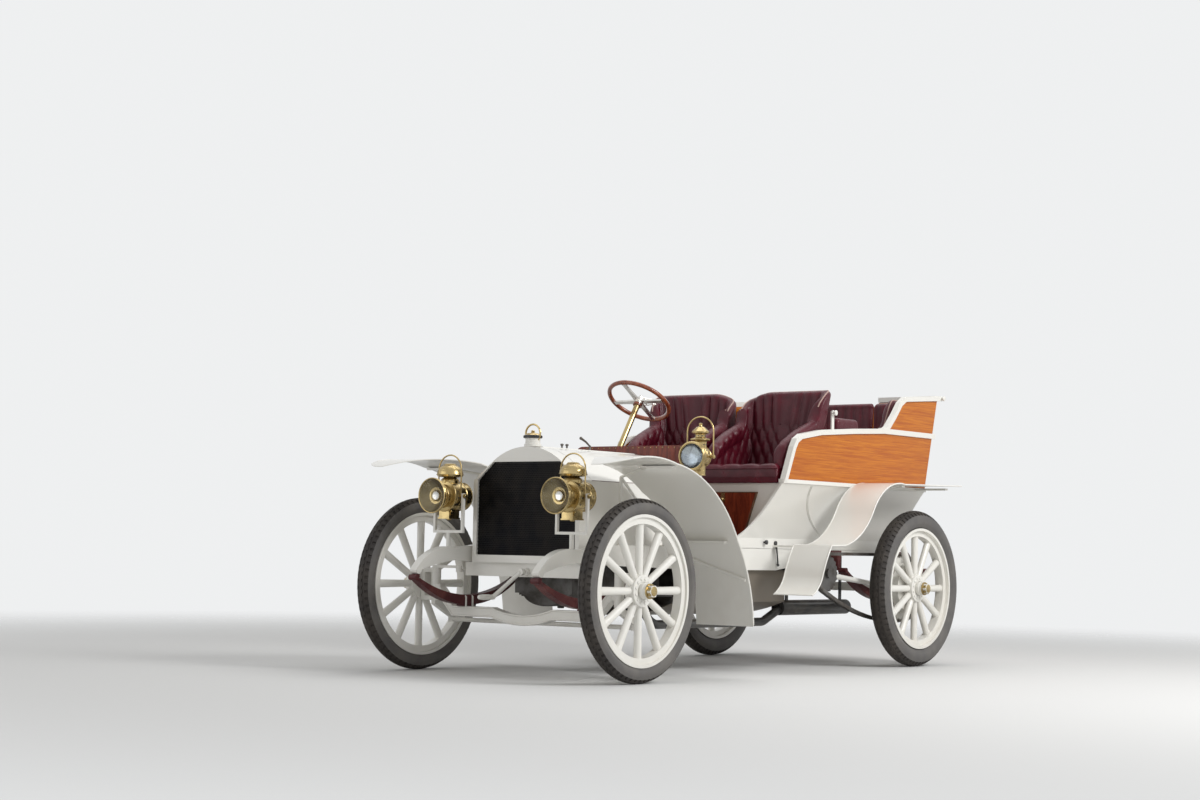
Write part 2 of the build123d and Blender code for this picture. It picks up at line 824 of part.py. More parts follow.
def make_bonnet_lid():
    """Left lid from its rolled hinge barrel over the chamfer to the shoulder."""
    start = shell_front_y + shell_depth + panel_gap
    length = bonnet_rear_y - start
    t = panel_thickness
    top = lid_hinge_z
    with BuildPart() as lid:
        with BuildSketch(across(start + length)):
            with BuildLine():
                outer = ThreePointArc((lid_sheet_x, top), (chamfer_half / 2 + 4, top - 18), (chamfer_half, chamfer_z))
                slope = Line(outer @ 1, (shell_half, shoulder_z))
                foot = Line(slope @ 1, (shell_half - t, shoulder_z - 1))
                back = Line(foot @ 1, (chamfer_half - 2, chamfer_z - t - 2))
                inner = ThreePointArc(back @ 1, (chamfer_half / 2 + 3, top - 18 - t), (lid_sheet_x, top - t))
                Line(inner @ 1, outer @ 0)
            make_face()
        extrude(amount=length)
        with BuildSketch(across(bonnet_rear_y - lid_end_margin)):
            with Locations((lid_hinge_x, top)):
                Circle(hinge_barrel_radius)
            with Locations((lid_hinge_x, top)):
                Rectangle(lid_sheet_x + 2 - lid_hinge_x, t, align=(Align.MIN, Align.MAX))
            with Locations((lid_hinge_x, top)):
                Circle(hinge_pin_radius + seat_gap, mode=Mode.SUBTRACT)
        extrude(amount=length - 2 * lid_end_margin)
    return lid.part


def make_dash():
    """Wooden dashboard with rounded upper corners."""
    with BuildPart() as dash:
        with BuildSketch(across(dash_front_y + dash_thickness)):
            with Locations((0, rail_top_z + seat_gap)):
                Rectangle(2 * dash_half, dash_top_z - rail_top_z - seat_gap, align=(Align.CENTER, Align.MIN))
        extrude(amount=dash_thickness)
        top_corners = dash.edges().filter_by(Axis.Y).group_by(Axis.Z)[-1]
        fillet(top_corners, radius=dash_corner_radius)
        with BuildSketch(Plane(origin=column_point(column_length), z_dir=column_up)):
            Circle(column_radius + seat_gap)
        extrude(amount=column_length, mode=Mode.SUBTRACT)
    return dash.part


# Steering
def column_point(distance):
    """Point on the steering column's centre line, measured down from the wheel's hub."""
    lean = radians(column_lean)
    return Vector(-column_x, front_axle_y + wheel_hub_y - distance * sin(lean), wheel_hub_z - distance * cos(lean))


column_up = Vector(0, sin(radians(column_lean)), cos(radians(column_lean)))
column_length = 990
steering_hub_depth = 34


def make_column():
    """Brass steering column with its box on the right-hand rail."""
    with BuildPart() as column:
        with BuildSketch(Plane(origin=column_point(column_length), z_dir=column_up)):
            Circle(column_radius)
        extrude(amount=column_length - steering_hub_depth - seat_gap)
        with BuildSketch(level(rail_top_z - 80)):
            with Locations((-rail_inner_x + seat_gap, drop_arm_y + 12)):
                Rectangle(rail_inner_x - column_x + 60, 120, align=(Align.MIN, Align.CENTER))
        extrude(amount=78)
    return column.part


def make_steering_wheel():
    """Four-spoke steering wheel with a round wooden rim."""
    hub = Plane(origin=column_point(0), x_dir=(1, 0, 0), z_dir=column_up)
    side = Plane(origin=column_point(0), x_dir=(1, 0, 0), z_dir=hub.y_dir)
    with BuildPart() as wheel:
        with BuildSketch(side):
            with Locations((steering_rim_radius, 0)):
                Circle(steering_rim_section)
        revolve(axis=Axis(column_point(0), column_up))
        with BuildSketch(hub.offset(-steering_hub_depth)):
            Circle(26)
        extrude(amount=steering_hub_depth + 12)
        with BuildSketch(hub.offset(-9)):
            Rectangle(2 * steering_rim_radius, 20)
            Rectangle(20, 2 * steering_rim_radius)
        extrude(amount=8)
    return wheel.part


def make_knuckle(with_drag_arm):
    """Left steering knuckle: yoke round the axle's end, stub axle and tie-rod arm."""
    yoke_low = front_tyre_radius - yoke_reach
    yoke_high = front_tyre_radius + yoke_reach
    stub_end = half_track + hub_flange_width / 2
    arm_low = tie_rod_z + tie_rod_radius + 2 + seat_gap
    with BuildPart() as knuckle:
        for foot, height in ((yoke_low, 24 - seat_gap), (yoke_high - 24 + seat_gap, 24 - seat_gap)):
            with BuildSketch(level(foot)):
                with Locations((kingpin_x, 0)):
                    Circle(26)
                with Locations((kingpin_x, 0)):
                    Rectangle(half_track - hub_flange_width / 2 - kingpin_x - 2, 40,
                              align=(Align.MIN, Align.CENTER))
            extrude(amount=height)
        with BuildSketch(level(yoke_low)):
            with Locations((half_track - hub_flange_width / 2 - 2, 0)):
                Rectangle(28, 40, align=(Align.MAX, Align.CENTER))
        extrude(amount=yoke_high - yoke_low)
        with BuildSketch(along(half_track - hub_flange_width / 2 - 20)):
            with Locations((0, front_tyre_radius)):
                Circle(hub_bore_radius - seat_gap)
        extrude(amount=stub_end - half_track + hub_flange_width / 2 + 20 - seat_gap)
        with BuildSketch(along(kingpin_x)):
            with BuildLine():
                Polyline((-20, yoke_low), (20, yoke_low), (tie_rod_y + 18, arm_low + 16), (tie_rod_y + 18, arm_low),
                         (tie_rod_y - 18, arm_low), (-20, yoke_low - 20), close=True)
            make_face()
        extrude(amount=13, both=True)
        if with_drag_arm:
            with BuildSketch(level(yoke_high)):
                with Locations((kingpin_x, 0)):
                    Circle(22)
                    Rectangle(kingpin_x - drag_link_x, 24, align=(Align.MAX, Align.CENTER))
                with Locations((drag_link_x, 0)):
                    Circle(16)
            extrude(amount=14)
    return knuckle.part


def make_tie_rod():
    """Tie rod behind the axle, below the two steering arms."""
    with BuildPart() as rod:
        with BuildSketch(along(0)):
            with Locations((tie_rod_y, tie_rod_z)):
                Circle(tie_rod_radius)
        extrude(amount=kingpin_x, both=True)
        with BuildSketch(level(tie_rod_z - tie_rod_radius - 2)):
            with Locations((kingpin_x, tie_rod_y), (-kingpin_x, tie_rod_y)):
                Circle(18)
        extrude(amount=2 * tie_rod_radius + 4)
    return rod.part


def make_drag_link():
    """Drag link from the drop arm's ball to the right-hand knuckle."""
    top = drag_link_z + drag_link_radius + 2
    with BuildPart() as link:
        with BuildSketch(across(0)):
            with Locations((-drag_link_x, top - drag_link_radius - 2)):
                Circle(drag_link_radius)
        extrude(amount=-drop_arm_y)
        with BuildSketch(level(top - 2 * drag_link_radius - 4)):
            with Locations((-drag_link_x, 0)):
                Circle(16)
        extrude(amount=2 * drag_link_radius + 4)
        with BuildSketch(along(-drag_link_x - drag_link_radius)):
            with Locations((drop_arm_y, top - drag_link_radius - 2)):
                Circle(18)
        extrude(amount=2 * drag_link_radius)
    return link.part


def make_drop_arm():
    """Drop arm on the steering box's cross shaft, outside the right-hand rail."""
    pivot_z = drop_pivot_z
    low_z = drag_link_z
    with BuildPart() as arm:
        with BuildSketch(along(-rail_outer_x - 4 - drop_arm_thickness)):
            with BuildLine():
                Polyline((drop_arm_y - 22, pivot_z), (drop_arm_y - 14, low_z), (drop_arm_y + 14, low_z),
                         (drop_arm_y + 22, pivot_z), close=True)
            make_face()
            with Locations((drop_arm_y, pivot_z)):
                Circle(24)
            with Locations((drop_arm_y, low_z)):
                Circle(16)
        extrude(amount=drop_arm_thickness)
        with BuildSketch(along(-rail_outer_x - 6)):
            with Locations((drop_arm_y, pivot_z)):
                Circle(drop_shaft_radius)
        extrude(amount=rail_outer_x - rail_inner_x + 6 - seat_gap)
    return arm.part


side_lever_table = (
    # distance behind the front axle, lean, height of the top
    (1170, 60, 980),
    (1250, 40, 940),
)


def make_side_levers():
    """Brake and gear levers outside the right-hand rail, each on its pivot boss."""
    face_x = body_foot_x + 2
    with BuildPart() as levers:
        for y, lean, reach in side_lever_table:
            with BuildSketch(along(-face_x)):
                with BuildLine():
                    Polyline((y - 14, 636), (y + lean - 8, reach), (y + lean + 8, reach), (y + 14, 636), close=True)
                make_face()
                with Locations((y, 636)):
                    Circle(24)
                with Locations((y + lean, reach)):
                    Circle(13)
            extrude(amount=-12)
            with BuildSketch(along(-rail_outer_x - seat_gap)):
                with Locations((y, 636)):
                    Circle(18)
            extrude(amount=-(face_x - rail_outer_x))
    return levers.part


# Body
rear_slope = (wood_rear_top_y - wood_rear_foot_y) / (wood_top_z - belt_z)
side_slope = (wood_top_x - belt_x) / (wood_top_z - belt_z)


def rear_y(z):
    """Distance behind the front axle of the leaning rear face at a height."""
    return wood_rear_foot_y + rear_slope * (z - belt_z)


sill_high_z = rail_top_z + sill_height
body_rear_foot_y = rear_y(sill_high_z)


def make_floor():
    """Floor boards and the heel board below the front seats."""
    with BuildPart() as floor:
        with BuildSketch(level(sill_high_z - floor_thickness)):
            with Locations((0, dash_front_y + dash_thickness + seat_gap)):
                Rectangle(2 * (rail_inner_x - seat_gap), body_rear_foot_y - dash_front_y - dash_thickness - 24,
                          align=(Align.CENTER, Align.MIN))
        extrude(amount=floor_thickness)
        with BuildSketch(across(heel_board_y + 16)):
            with BuildLine():
                Polyline((-330, sill_high_z), (330, sill_high_z), (heel_board_half, belt_z - 50),
                         (-heel_board_half, belt_z - 50), close=True)
            make_face()
        extrude(amount=16)
    return floor.part


def rear_band(thickness, low_z, high_z, out=0):
    """Four corners of a leaning rear panel in side view."""
    return [(rear_y(low_z) + out, low_z), (rear_y(high_z) + out, high_z), (rear_y(high_z) + out - thickness, high_z),
            (rear_y(low_z) + out - thickness, low_z)]


def side_band(thickness, low_z, high_z, out=0):
    """Four corners of a leaning tonneau side wall in front view."""
    low_x = belt_x + side_slope * (low_z - belt_z) + out
    high_x = belt_x + side_slope * (high_z - belt_z) + out
    return [(low_x, low_z), (high_x, high_z), (high_x - thickness, high_z), (low_x - thickness, low_z)]


body_sweep = (
    # front edge of the flared body side in side view, from the belt down to the sill
    (heel_board_y, belt_z),
    (1450, 860),
    (1290, sill_high_z),
)


def make_lower_body():
    """Sills, flared side panels, rear panels beside the door and the box below the front seats."""
    sill_low = rail_top_z + seat_gap
    back = rear_y(belt_z) + 40
    with BuildPart() as body:
        for side in (-1, 1):
            with BuildSketch(across(body_rear_foot_y)):
                with Locations((side * (rail_inner_x + body_foot_x) / 2, sill_low)):
                    Rectangle(body_foot_x - rail_inner_x, sill_high_z - sill_low, align=(Align.CENTER, Align.MIN))
            extrude(amount=body_rear_foot_y - dash_front_y - dash_thickness - seat_gap)
            with BuildSketch(across(back)):
                with BuildLine():
                    outer = ThreePointArc((side * body_foot_x, sill_high_z), (side * 498, 893),
                                          (side * belt_x, belt_z))
                    inner = ThreePointArc((side * (belt_x - body_wall), belt_z), (side * (498 - body_wall), 893),
                                          (side * (body_foot_x - body_wall), sill_high_z))
                    Line(outer @ 1, inner @ 0)
                    Line(inner @ 1, outer @ 0)
                make_face()
            extrude(amount=back - body_sweep[-1][0])
        with BuildSketch(along(0)):
            with BuildLine():
                sweep_edge = ThreePointArc(*body_sweep)
                Polyline(sweep_edge @ 1, (body_sweep[-1][0] - 100, sill_high_z),
                         (body_sweep[-1][0] - 100, belt_z + 10), (body_sweep[0][0], belt_z + 10), sweep_edge @ 0)
            make_face()
            with BuildLine():
                Polyline((rear_y(sill_high_z), sill_low - 10), (rear_y(sill_high_z), sill_high_z),
                         (rear_y(belt_z + 10), belt_z + 10), (back + 300, belt_z + 10), (back + 300, sill_low - 10),
                         close=True)
            make_face()
        extrude(amount=900, both=True, mode=Mode.SUBTRACT)
        for side in (-1, 1):
            with BuildSketch(along(side * (door_half + door_gap))):
                with BuildLine():
                    Polyline(*rear_band(body_wall, sill_high_z, belt_z), close=True)
                make_face()
            extrude(amount=side * (body_foot_x - door_half - door_gap - 14))
        for y in (heel_board_y + 16 + seat_gap, seat_back_y - 60):
            with BuildSketch(across(y + 18)):
                with BuildLine():
                    Polyline((-body_foot_x + 30, sill_high_z + seat_gap), (body_foot_x - 30, sill_high_z + seat_gap),
                             (belt_x - 30, belt_z), (-belt_x + 30, belt_z), close=True)
                make_face()
            extrude(amount=18)
        with BuildSketch(level(belt_z - 16)):
            with Locations((0, heel_board_y + 16 + seat_gap)):
                Rectangle(2 * (belt_x - 26), seat_back_y - heel_board_y - 60, align=(Align.CENTER, Align.MIN))
        extrude(amount=16)
    return body.part


wood_foot_z = belt_z + belt_rail_height
mid_line_z = wood_top_z - 234
wood_top_line = (
    # upper edge of the varnished side in side view, from its front foot to the rear
    (heel_board_y + 37, wood_foot_z),
    (1592, mid_line_z - 136),
    (1612, mid_line_z - 100),
    (1650, mid_line_z - 78),
    (1844, mid_line_z - 46),
    (2199, mid_line_z - 20),
    (2551, mid_line_z),
    (2592, mid_line_z + 20),
    (2664, mid_line_z + 100),
    (2722, mid_line_z + 176),
    (2768, wood_top_z - 30),
    (rear_y(wood_top_z), wood_top_z),
)
mid_rail_start_y = 2480
rear_hood_pin_z = wood_top_z + moulding_depth - hood_pin_radius - 2


def moved_out(line, distance):
    """Points of an open side line moved square to its run, upwards and forwards."""
    moved = []
    for index, (y, z) in enumerate(line):
        before = line[max(index - 1, 0)]
        after = line[min(index + 1, len(line) - 1)]
        first = Vector(y - before[0], z - before[1])
        second = Vector(after[0] - y, after[1] - z)
        runs = [run.normalized() for run in (first, second) if run.length > 0]
        square = sum((Vector(-run.Y, run.X) for run in runs), Vector(0, 0)).normalized()
        reach = distance / square.dot(Vector(-runs[0].Y, runs[0].X))
        moved.append((y + square.X * reach, z + square.Y * reach))
    return moved


def make_tonneau_sides():
    """Varnished wooden side walls and the rear walls beside the door."""
    high = wood_top_z + 60
    with BuildPart() as sides:
        with BuildSketch(across(rear_y(high))):
            with BuildLine():
                Polyline(*side_band(wood_wall, wood_foot_z, high), close=True)
            make_face()
        extrude(amount=rear_y(high) - heel_board_y)
        with BuildSketch(along(door_half + door_gap)):
            with BuildLine():
                Polyline(*rear_band(wood_wall, wood_foot_z, wood_top_z), close=True)
            make_face()
        extrude(amount=belt_x - wood_wall / 2 - door_half - door_gap)
        with BuildSketch(along(0)):
            with BuildLine():
                Polyline(*wood_top_line, (rear_y(wood_foot_z), wood_foot_z), close=True)
            make_face()
        extrude(amount=900, mode=Mode.INTERSECT)
        mirror(about=Plane.YZ)
    return sides.part


def make_body_rails():
    """White mouldings: belt rail, the rail round each varnished side, its rear run, and the hood-iron pins."""
    rear_end_y = rear_y(wood_top_z)
    low_edge = moved_out(wood_top_line, seat_gap)
    high_edge = moved_out(wood_top_line, moulding_depth)
    foot_z = belt_z + belt_rail_height / 2
    mid_low_z = mid_line_z + seat_gap
    mid_end_y = rear_y(mid_line_z) + moulding_tail
    top_end_y = rear_end_y + moulding_tail
    with BuildPart() as rails:
        with BuildSketch(across(rear_end_y + 60)):
            with BuildLine():
                Polyline(*side_band(wood_wall + moulding_proud, belt_z, wood_top_z + 60, moulding_proud), close=True)
            make_face()
        extrude(amount=rear_end_y + 60 - heel_board_y + 60)
        with BuildSketch(along(0)):
            with BuildLine():
                Polyline((low_edge[0][0] - 6, foot_z), *low_edge, (top_end_y, low_edge[-1][1]),
                         (top_end_y, high_edge[-1][1]), *reversed(high_edge), (high_edge[0][0] - 6, foot_z),
                         close=True)
            make_face()
        extrude(amount=900, mode=Mode.INTERSECT)
        with BuildSketch(level(belt_z + seat_gap)):
            with Locations((belt_x - wood_wall - 4, heel_board_y)):
                Rectangle(wood_wall + 4 + rail_overhang, rear_y(belt_z) - heel_board_y, align=(Align.MIN, Align.MIN))
            with Locations((door_half + door_gap, rear_y(belt_z) - wood_wall)):
                Rectangle(belt_x + rail_overhang - door_half - door_gap, wood_wall + rail_overhang,
                          align=(Align.MIN, Align.MIN))
        extrude(amount=belt_rail_height - 2 * seat_gap)
        with BuildSketch(across(mid_end_y)):
            with BuildLine():
                Polyline(*side_band(moulding_proud - seat_gap, mid_low_z, mid_low_z + moulding_depth, moulding_proud),
                         close=True)
            make_face()
        extrude(amount=mid_end_y - mid_rail_start_y)
        with BuildSketch(level(wood_top_z + seat_gap)):
            with Locations((door_half + door_gap, rear_end_y + rail_overhang)):
                Rectangle(wood_top_x - door_half - door_gap, wood_wall + 2 * rail_overhang,
                          align=(Align.MIN, Align.MAX))
        extrude(amount=moulding_depth - seat_gap)
        with BuildSketch(along(hood_upright_x)):
            with Locations((front_hood_pin_y, mid_line_z - 20)):
                Rectangle(2 * hood_pin_radius + 4, front_hood_pin_z - mid_line_z + 20, align=(Align.CENTER, Align.MIN))
            with Locations((front_hood_pin_y, front_hood_pin_z)):
                Circle(hood_pin_radius + 2)
        extrude(amount=hood_upright_thickness)
        with BuildSketch(along(hood_upright_x)):
            with Locations((front_hood_pin_y, front_hood_pin_z)):
                Circle(hood_pin_radius)
        extrude(amount=hood_upright_thickness + hood_pin_length)
        with BuildSketch(along(wood_top_x - 4)):
            with Locations((rear_end_y, rear_hood_pin_z)):
                Rectangle(rear_hood_pin_y - rear_end_y, 2 * hood_pin_radius + 4, align=(Align.MIN, Align.CENTER))
            with Locations((rear_hood_pin_y, rear_hood_pin_z)):
                Circle(hood_pin_radius + 2)
        extrude(amount=hood_upright_thickness)
        with BuildSketch(along(wood_top_x - 4)):
            with Locations((rear_hood_pin_y, rear_hood_pin_z)):
                Circle(hood_pin_radius)
        extrude(amount=hood_upright_thickness + hood_pin_length)
        mirror(about=Plane.YZ)
    return rails.part


door_lean = atan(rear_slope)
door_hinge_x = -(door_half + 2)
hinge_heights = (belt_z - 162, wood_top_z - 184)
door_knuckle_half = 26
door_pin_radius = 4
door_barrel_radius = 7
door_leaf = 2.6


def hinge_plane(z, offset):
    """Plane square to the door's hinge axis: local x points along the door, local y outwards."""
    up = Vector(0, sin(door_lean), cos(door_lean))
    out = Vector(0, cos(door_lean), -sin(door_lean))
    foot = Vector(door_hinge_x, front_axle_y + rear_y(z), z) + out * hinge_stand_off
    return Plane(origin=foot + up * offset, x_dir=(1, 0, 0), z_dir=up)


def make_rear_door():
    """Rear entrance door: one leaning panel with its two hinge barrels and a handle."""
    low, high = sill_high_z + 12, wood_top_z - 30
    face = -hinge_stand_off
    with BuildPart() as door:
        with BuildSketch(along(0)):
            with BuildLine():
                Polyline(*rear_band(door_thickness, low, high), close=True)
            make_face()
        extrude(amount=door_half, both=True)
        for z in hinge_heights:
            with BuildSketch(hinge_plane(z, -door_knuckle_half)):
                Circle(door_barrel_radius)
                with Locations((0, face - 2)):
                    Rectangle(10, -face + 2, align=(Align.MIN, Align.MIN))
                with Locations((4, face - 2)):
                    Rectangle(46, door_leaf + 2, align=(Align.MIN, Align.MIN))
                Circle(door_pin_radius + seat_gap, mode=Mode.SUBTRACT)
            extrude(amount=2 * door_knuckle_half)
    return door.part


def make_door_hinges():
    """Body side of the rear door's hinges: pins, end knuckles and leaves on the rear wall."""
    face = -hinge_stand_off + seat_gap
    leaf_length = 20
    with BuildPart() as hinges:
        for z in hinge_heights:
            with BuildSketch(hinge_plane(z, -door_knuckle_half - leaf_length)):
                Circle(door_pin_radius)
            extrude(amount=2 * (door_knuckle_half + leaf_length))
            for side in (-1, 1):
                foot = side * (door_knuckle_half + 0.5)
                with BuildSketch(hinge_plane(z, foot)):
                    Circle(door_barrel_radius)
                    with Locations((0, face)):
                        Rectangle(10, -face, align=(Align.MAX, Align.MIN))
                    with Locations((0, face)):
                        Rectangle(48, door_leaf, align=(Align.MAX, Align.MIN))
                extrude(amount=side * (leaf_length - 0.5))
    return hinges.part


# Seats
seat_rise = seat_top_z - belt_z
arm_curve = (
    # upper edge of the arm in side view, rising from its front to the back rest
    (seat_front_y + 18, belt_z + seat_rise * 0.29),
    (seat_front_y + 188, belt_z + seat_rise * 0.553),
    (seat_front_y + 350, belt_z + seat_rise * 0.68),
)
back_curve = (
    # front edge of the back rest's wing above the arm
    arm_curve[-1],
    (seat_front_y + 368, belt_z + seat_rise * 0.877),
    (seat_front_y + 448, seat_top_z),
)


def make_front_seats():
    """Two front seats: a wrapped back that flares outwards, arms that slope down, and a thick cushion."""
    base_z = belt_z + seat_gap
    levels = (
        # height, outer edge, rear edge
        (base_z, seat_foot_outer_x, seat_back_y - 24),
        (seat_top_z, seat_top_outer_x, seat_back_y + 16),
    )
    with BuildPart() as seats:
        for z, outer_x, back_y in levels:
            with BuildSketch(level(z)) as plan:
                with Locations((seat_inner_x, seat_front_y + 50)):
                    Rectangle(outer_x - seat_inner_x, back_y - seat_front_y - 50, align=(Align.MIN, Align.MIN))
                fillet(plan.vertices().group_by(Axis.Y)[-1], radius=90)
        loft(ruled=True)
        for z, outer_x, back_y in levels:
            with BuildSketch(level(z)) as hollow:
                with Locations((seat_inner_x + seat_padding, seat_front_y)):
                    Rectangle(outer_x - seat_inner_x - 2 * seat_padding, back_y - seat_front_y - seat_padding,
                              align=(Align.MIN, Align.MIN))
                fillet(hollow.vertices().group_by(Axis.Y)[-1], radius=60)
        loft(ruled=True, mode=Mode.SUBTRACT)
        with BuildSketch(along(0)):
            with BuildLine():
                arm = ThreePointArc(*arm_curve)
                back = ThreePointArc(*back_curve)
                Polyline(back @ 1, (seat_front_y - 112, seat_top_z + 40), (seat_front_y - 112, arm_curve[0][1]), arm @ 0)
            make_face()
        extrude(amount=seat_cut_reach, mode=Mode.SUBTRACT)
        with BuildSketch(level(base_z)):
            with Locations((seat_inner_x, seat_front_y - 6)):
                Rectangle(seat_foot_outer_x + 16 - seat_inner_x, 90, align=(Align.MIN, Align.MIN))
            with Locations((seat_inner_x + 30, seat_front_y)):
                Rectangle(seat_foot_outer_x - seat_inner_x - 60, seat_back_y - seat_front_y - 60,
                          align=(Align.MIN, Align.MIN))
        extrude(amount=cushion_height)
        mirror(about=Plane.YZ)
    return seats.part


def make_rear_seats():
    """Two rear corner seats: padded walls along side and rear, and a cushion on a box."""
    foot_z = sill_high_z + seat_gap
    wall_foot_z = wood_foot_z + 4
    seat_z = 1060
    side_x = belt_x - wood_wall - 6
    front_y = 2580
    back_y = rear_y(wall_foot_z) - door_thickness - 8
    with BuildPart() as seats:
        with BuildSketch(level(foot_z)):
            with Locations((rail_inner_x, front_y + 20)):
                Rectangle(rail_inner_x - 170, body_rear_foot_y - door_thickness - 12 - front_y - 20,
                          align=(Align.MAX, Align.MIN))
        extrude(amount=seat_z - foot_z)
        with BuildSketch(level(seat_z)):
            with Locations((side_x - seat_padding + 10, back_y)):
                Rectangle(side_x - seat_padding + 10 - 160, back_y - front_y, align=(Align.MAX, Align.MAX))
        extrude(amount=84)
        with BuildSketch(level(wall_foot_z)):
            with Locations((side_x, back_y)):
                Rectangle(seat_padding, back_y - front_y, align=(Align.MAX, Align.MAX))
            with Locations((side_x, back_y)):
                Rectangle(side_x - door_half - 24, seat_padding, align=(Align.MAX, Align.MAX))
        extrude(amount=wood_top_z - wall_foot_z - 24)
        with BuildSketch(along(0)):
            with BuildLine():
                Polyline((front_y - 20, mid_line_z - 20), (front_y + 50, mid_line_z), (front_y + 210, mid_line_z + 180),
                         (front_y + 250, wood_top_z - 40),
                         (back_y + 40, wood_top_z - 20), (back_y + 40, wood_top_z + 60), (front_y - 20, wood_top_z + 60),
                         close=True)
            make_face()
        extrude(amount=seat_cut_reach, mode=Mode.SUBTRACT)
        mirror(about=Plane.YZ)
    return seats.part


# Mudguards
front_guard_arcs = (
    # outer edge in side view: three points of each arc, from the nose to the foot
    ((-345, 1066), (-100, 1112), (144, 1086)),
    ((144, 1086), (470, 957), (685, 717)),
    ((685, 717), (793, 513), (843, 275)),
)
rear_guard_arcs = (
    # outer edge in side view, from the front plate's foot up over the step to the tail
    ((1410, 430), (1480, 478), (1515, 530)),
    ((1515, 530), (1556, 620), (1608, 702)),
    ((1743, 704), (1950, 792), (2058, 912)),
    ((2058, 912), (2175, 1022), (2410, 1066)),
)
rear_guard_tail = (3096, 1080)
rear_stay_rows = (2460, 2980)


def make_guard_sheet(edges, inner_x, shift_y):
    """Sheet between a side curve and the same curve moved inwards by the sheet's thickness."""
    with BuildPart() as sheet:
        with BuildSketch(along(inner_x)):
            with BuildLine():
                outer = edges(0, 0)
                inner = edges(shift_y, -guard_thickness)
                Line(outer[0], inner[0])
                Line(outer[1], inner[1])
            make_face()
        extrude(amount=guard_outer_x - inner_x)
    return sheet.part


def front_guard_curve(move_y, move_z):
    """Adds a front mudguard's side curve to the open line and gives back its two ends."""
    arcs = [ThreePointArc(*[(y + move_y, z + move_z) for y, z in row]) for row in front_guard_arcs]
    return arcs[0] @ 0, arcs[-1] @ 1


def rear_guard_curve(move_y, move_z):
    """Adds a rear mudguard's side curve to the open line and gives back its two ends."""
    rows = [[(y + move_y, z + move_z) for y, z in row] for row in rear_guard_arcs]
    plate = ThreePointArc(*rows[0])
    ThreePointArc(*rows[1])
    Line(rows[1][2], rows[2][0])
    ThreePointArc(*rows[2])
    ThreePointArc(*rows[3])
    tail = Line(rows[3][2], (rear_guard_tail[0] + move_y, rear_guard_tail[1] + move_z))
    return plate @ 0, tail @ 1


def make_front_guards():
    """Front mudguards: wide sheets with a rounded nose, swept over the tyre and down behind it."""
    sheet = make_guard_sheet(front_guard_curve, front_guard_inner_x, -guard_thickness)
    with BuildPart() as guards:
        add(sheet)
        with BuildSketch(level(200)):
            with BuildLine():
                nose = ThreePointArc((guard_outer_x, -236), (800, -318), (688, -350))
                Polyline(nose @ 1, (front_guard_inner_x, 96), (front_guard_inner_x, 460),
                         (front_guard_foot_inner_x, 690), (front_guard_foot_inner_x, 860), (guard_outer_x, 860),
                         nose @ 0)
            make_face()
        extrude(amount=1000, mode=Mode.INTERSECT)
        mirror(about=Plane.YZ)
    return guards.part


def make_rear_guards():
    """Rear mudguards with their step and the plate that drops in front of it."""
    sheet = make_guard_sheet(rear_guard_curve, rear_guard_inner_x, guard_thickness)
    with BuildPart() as guards:
        add(sheet)
        mirror(about=Plane.YZ)
    return guards.part


front_stay_x = 402
front_stay_y = 270
front_stay_top_z = 1027
front_stay_reach_y = 150
stay_radius = 7
fork_out = 102
fork_in = 88
side_bracket_z = 1000


def make_rod(start, end, radius):
    """Straight round rod between two points, each an X, a distance behind the front axle and a height."""
    foot = Vector(start[0], front_axle_y + start[1], start[2])
    reach = Vector(end[0], front_axle_y + end[1], end[2]) - foot
    with BuildPart() as rod:
        with BuildSketch(Plane(origin=foot, z_dir=reach.normalized())):
            Circle(radius)
        extrude(amount=reach.length)
    return rod.part


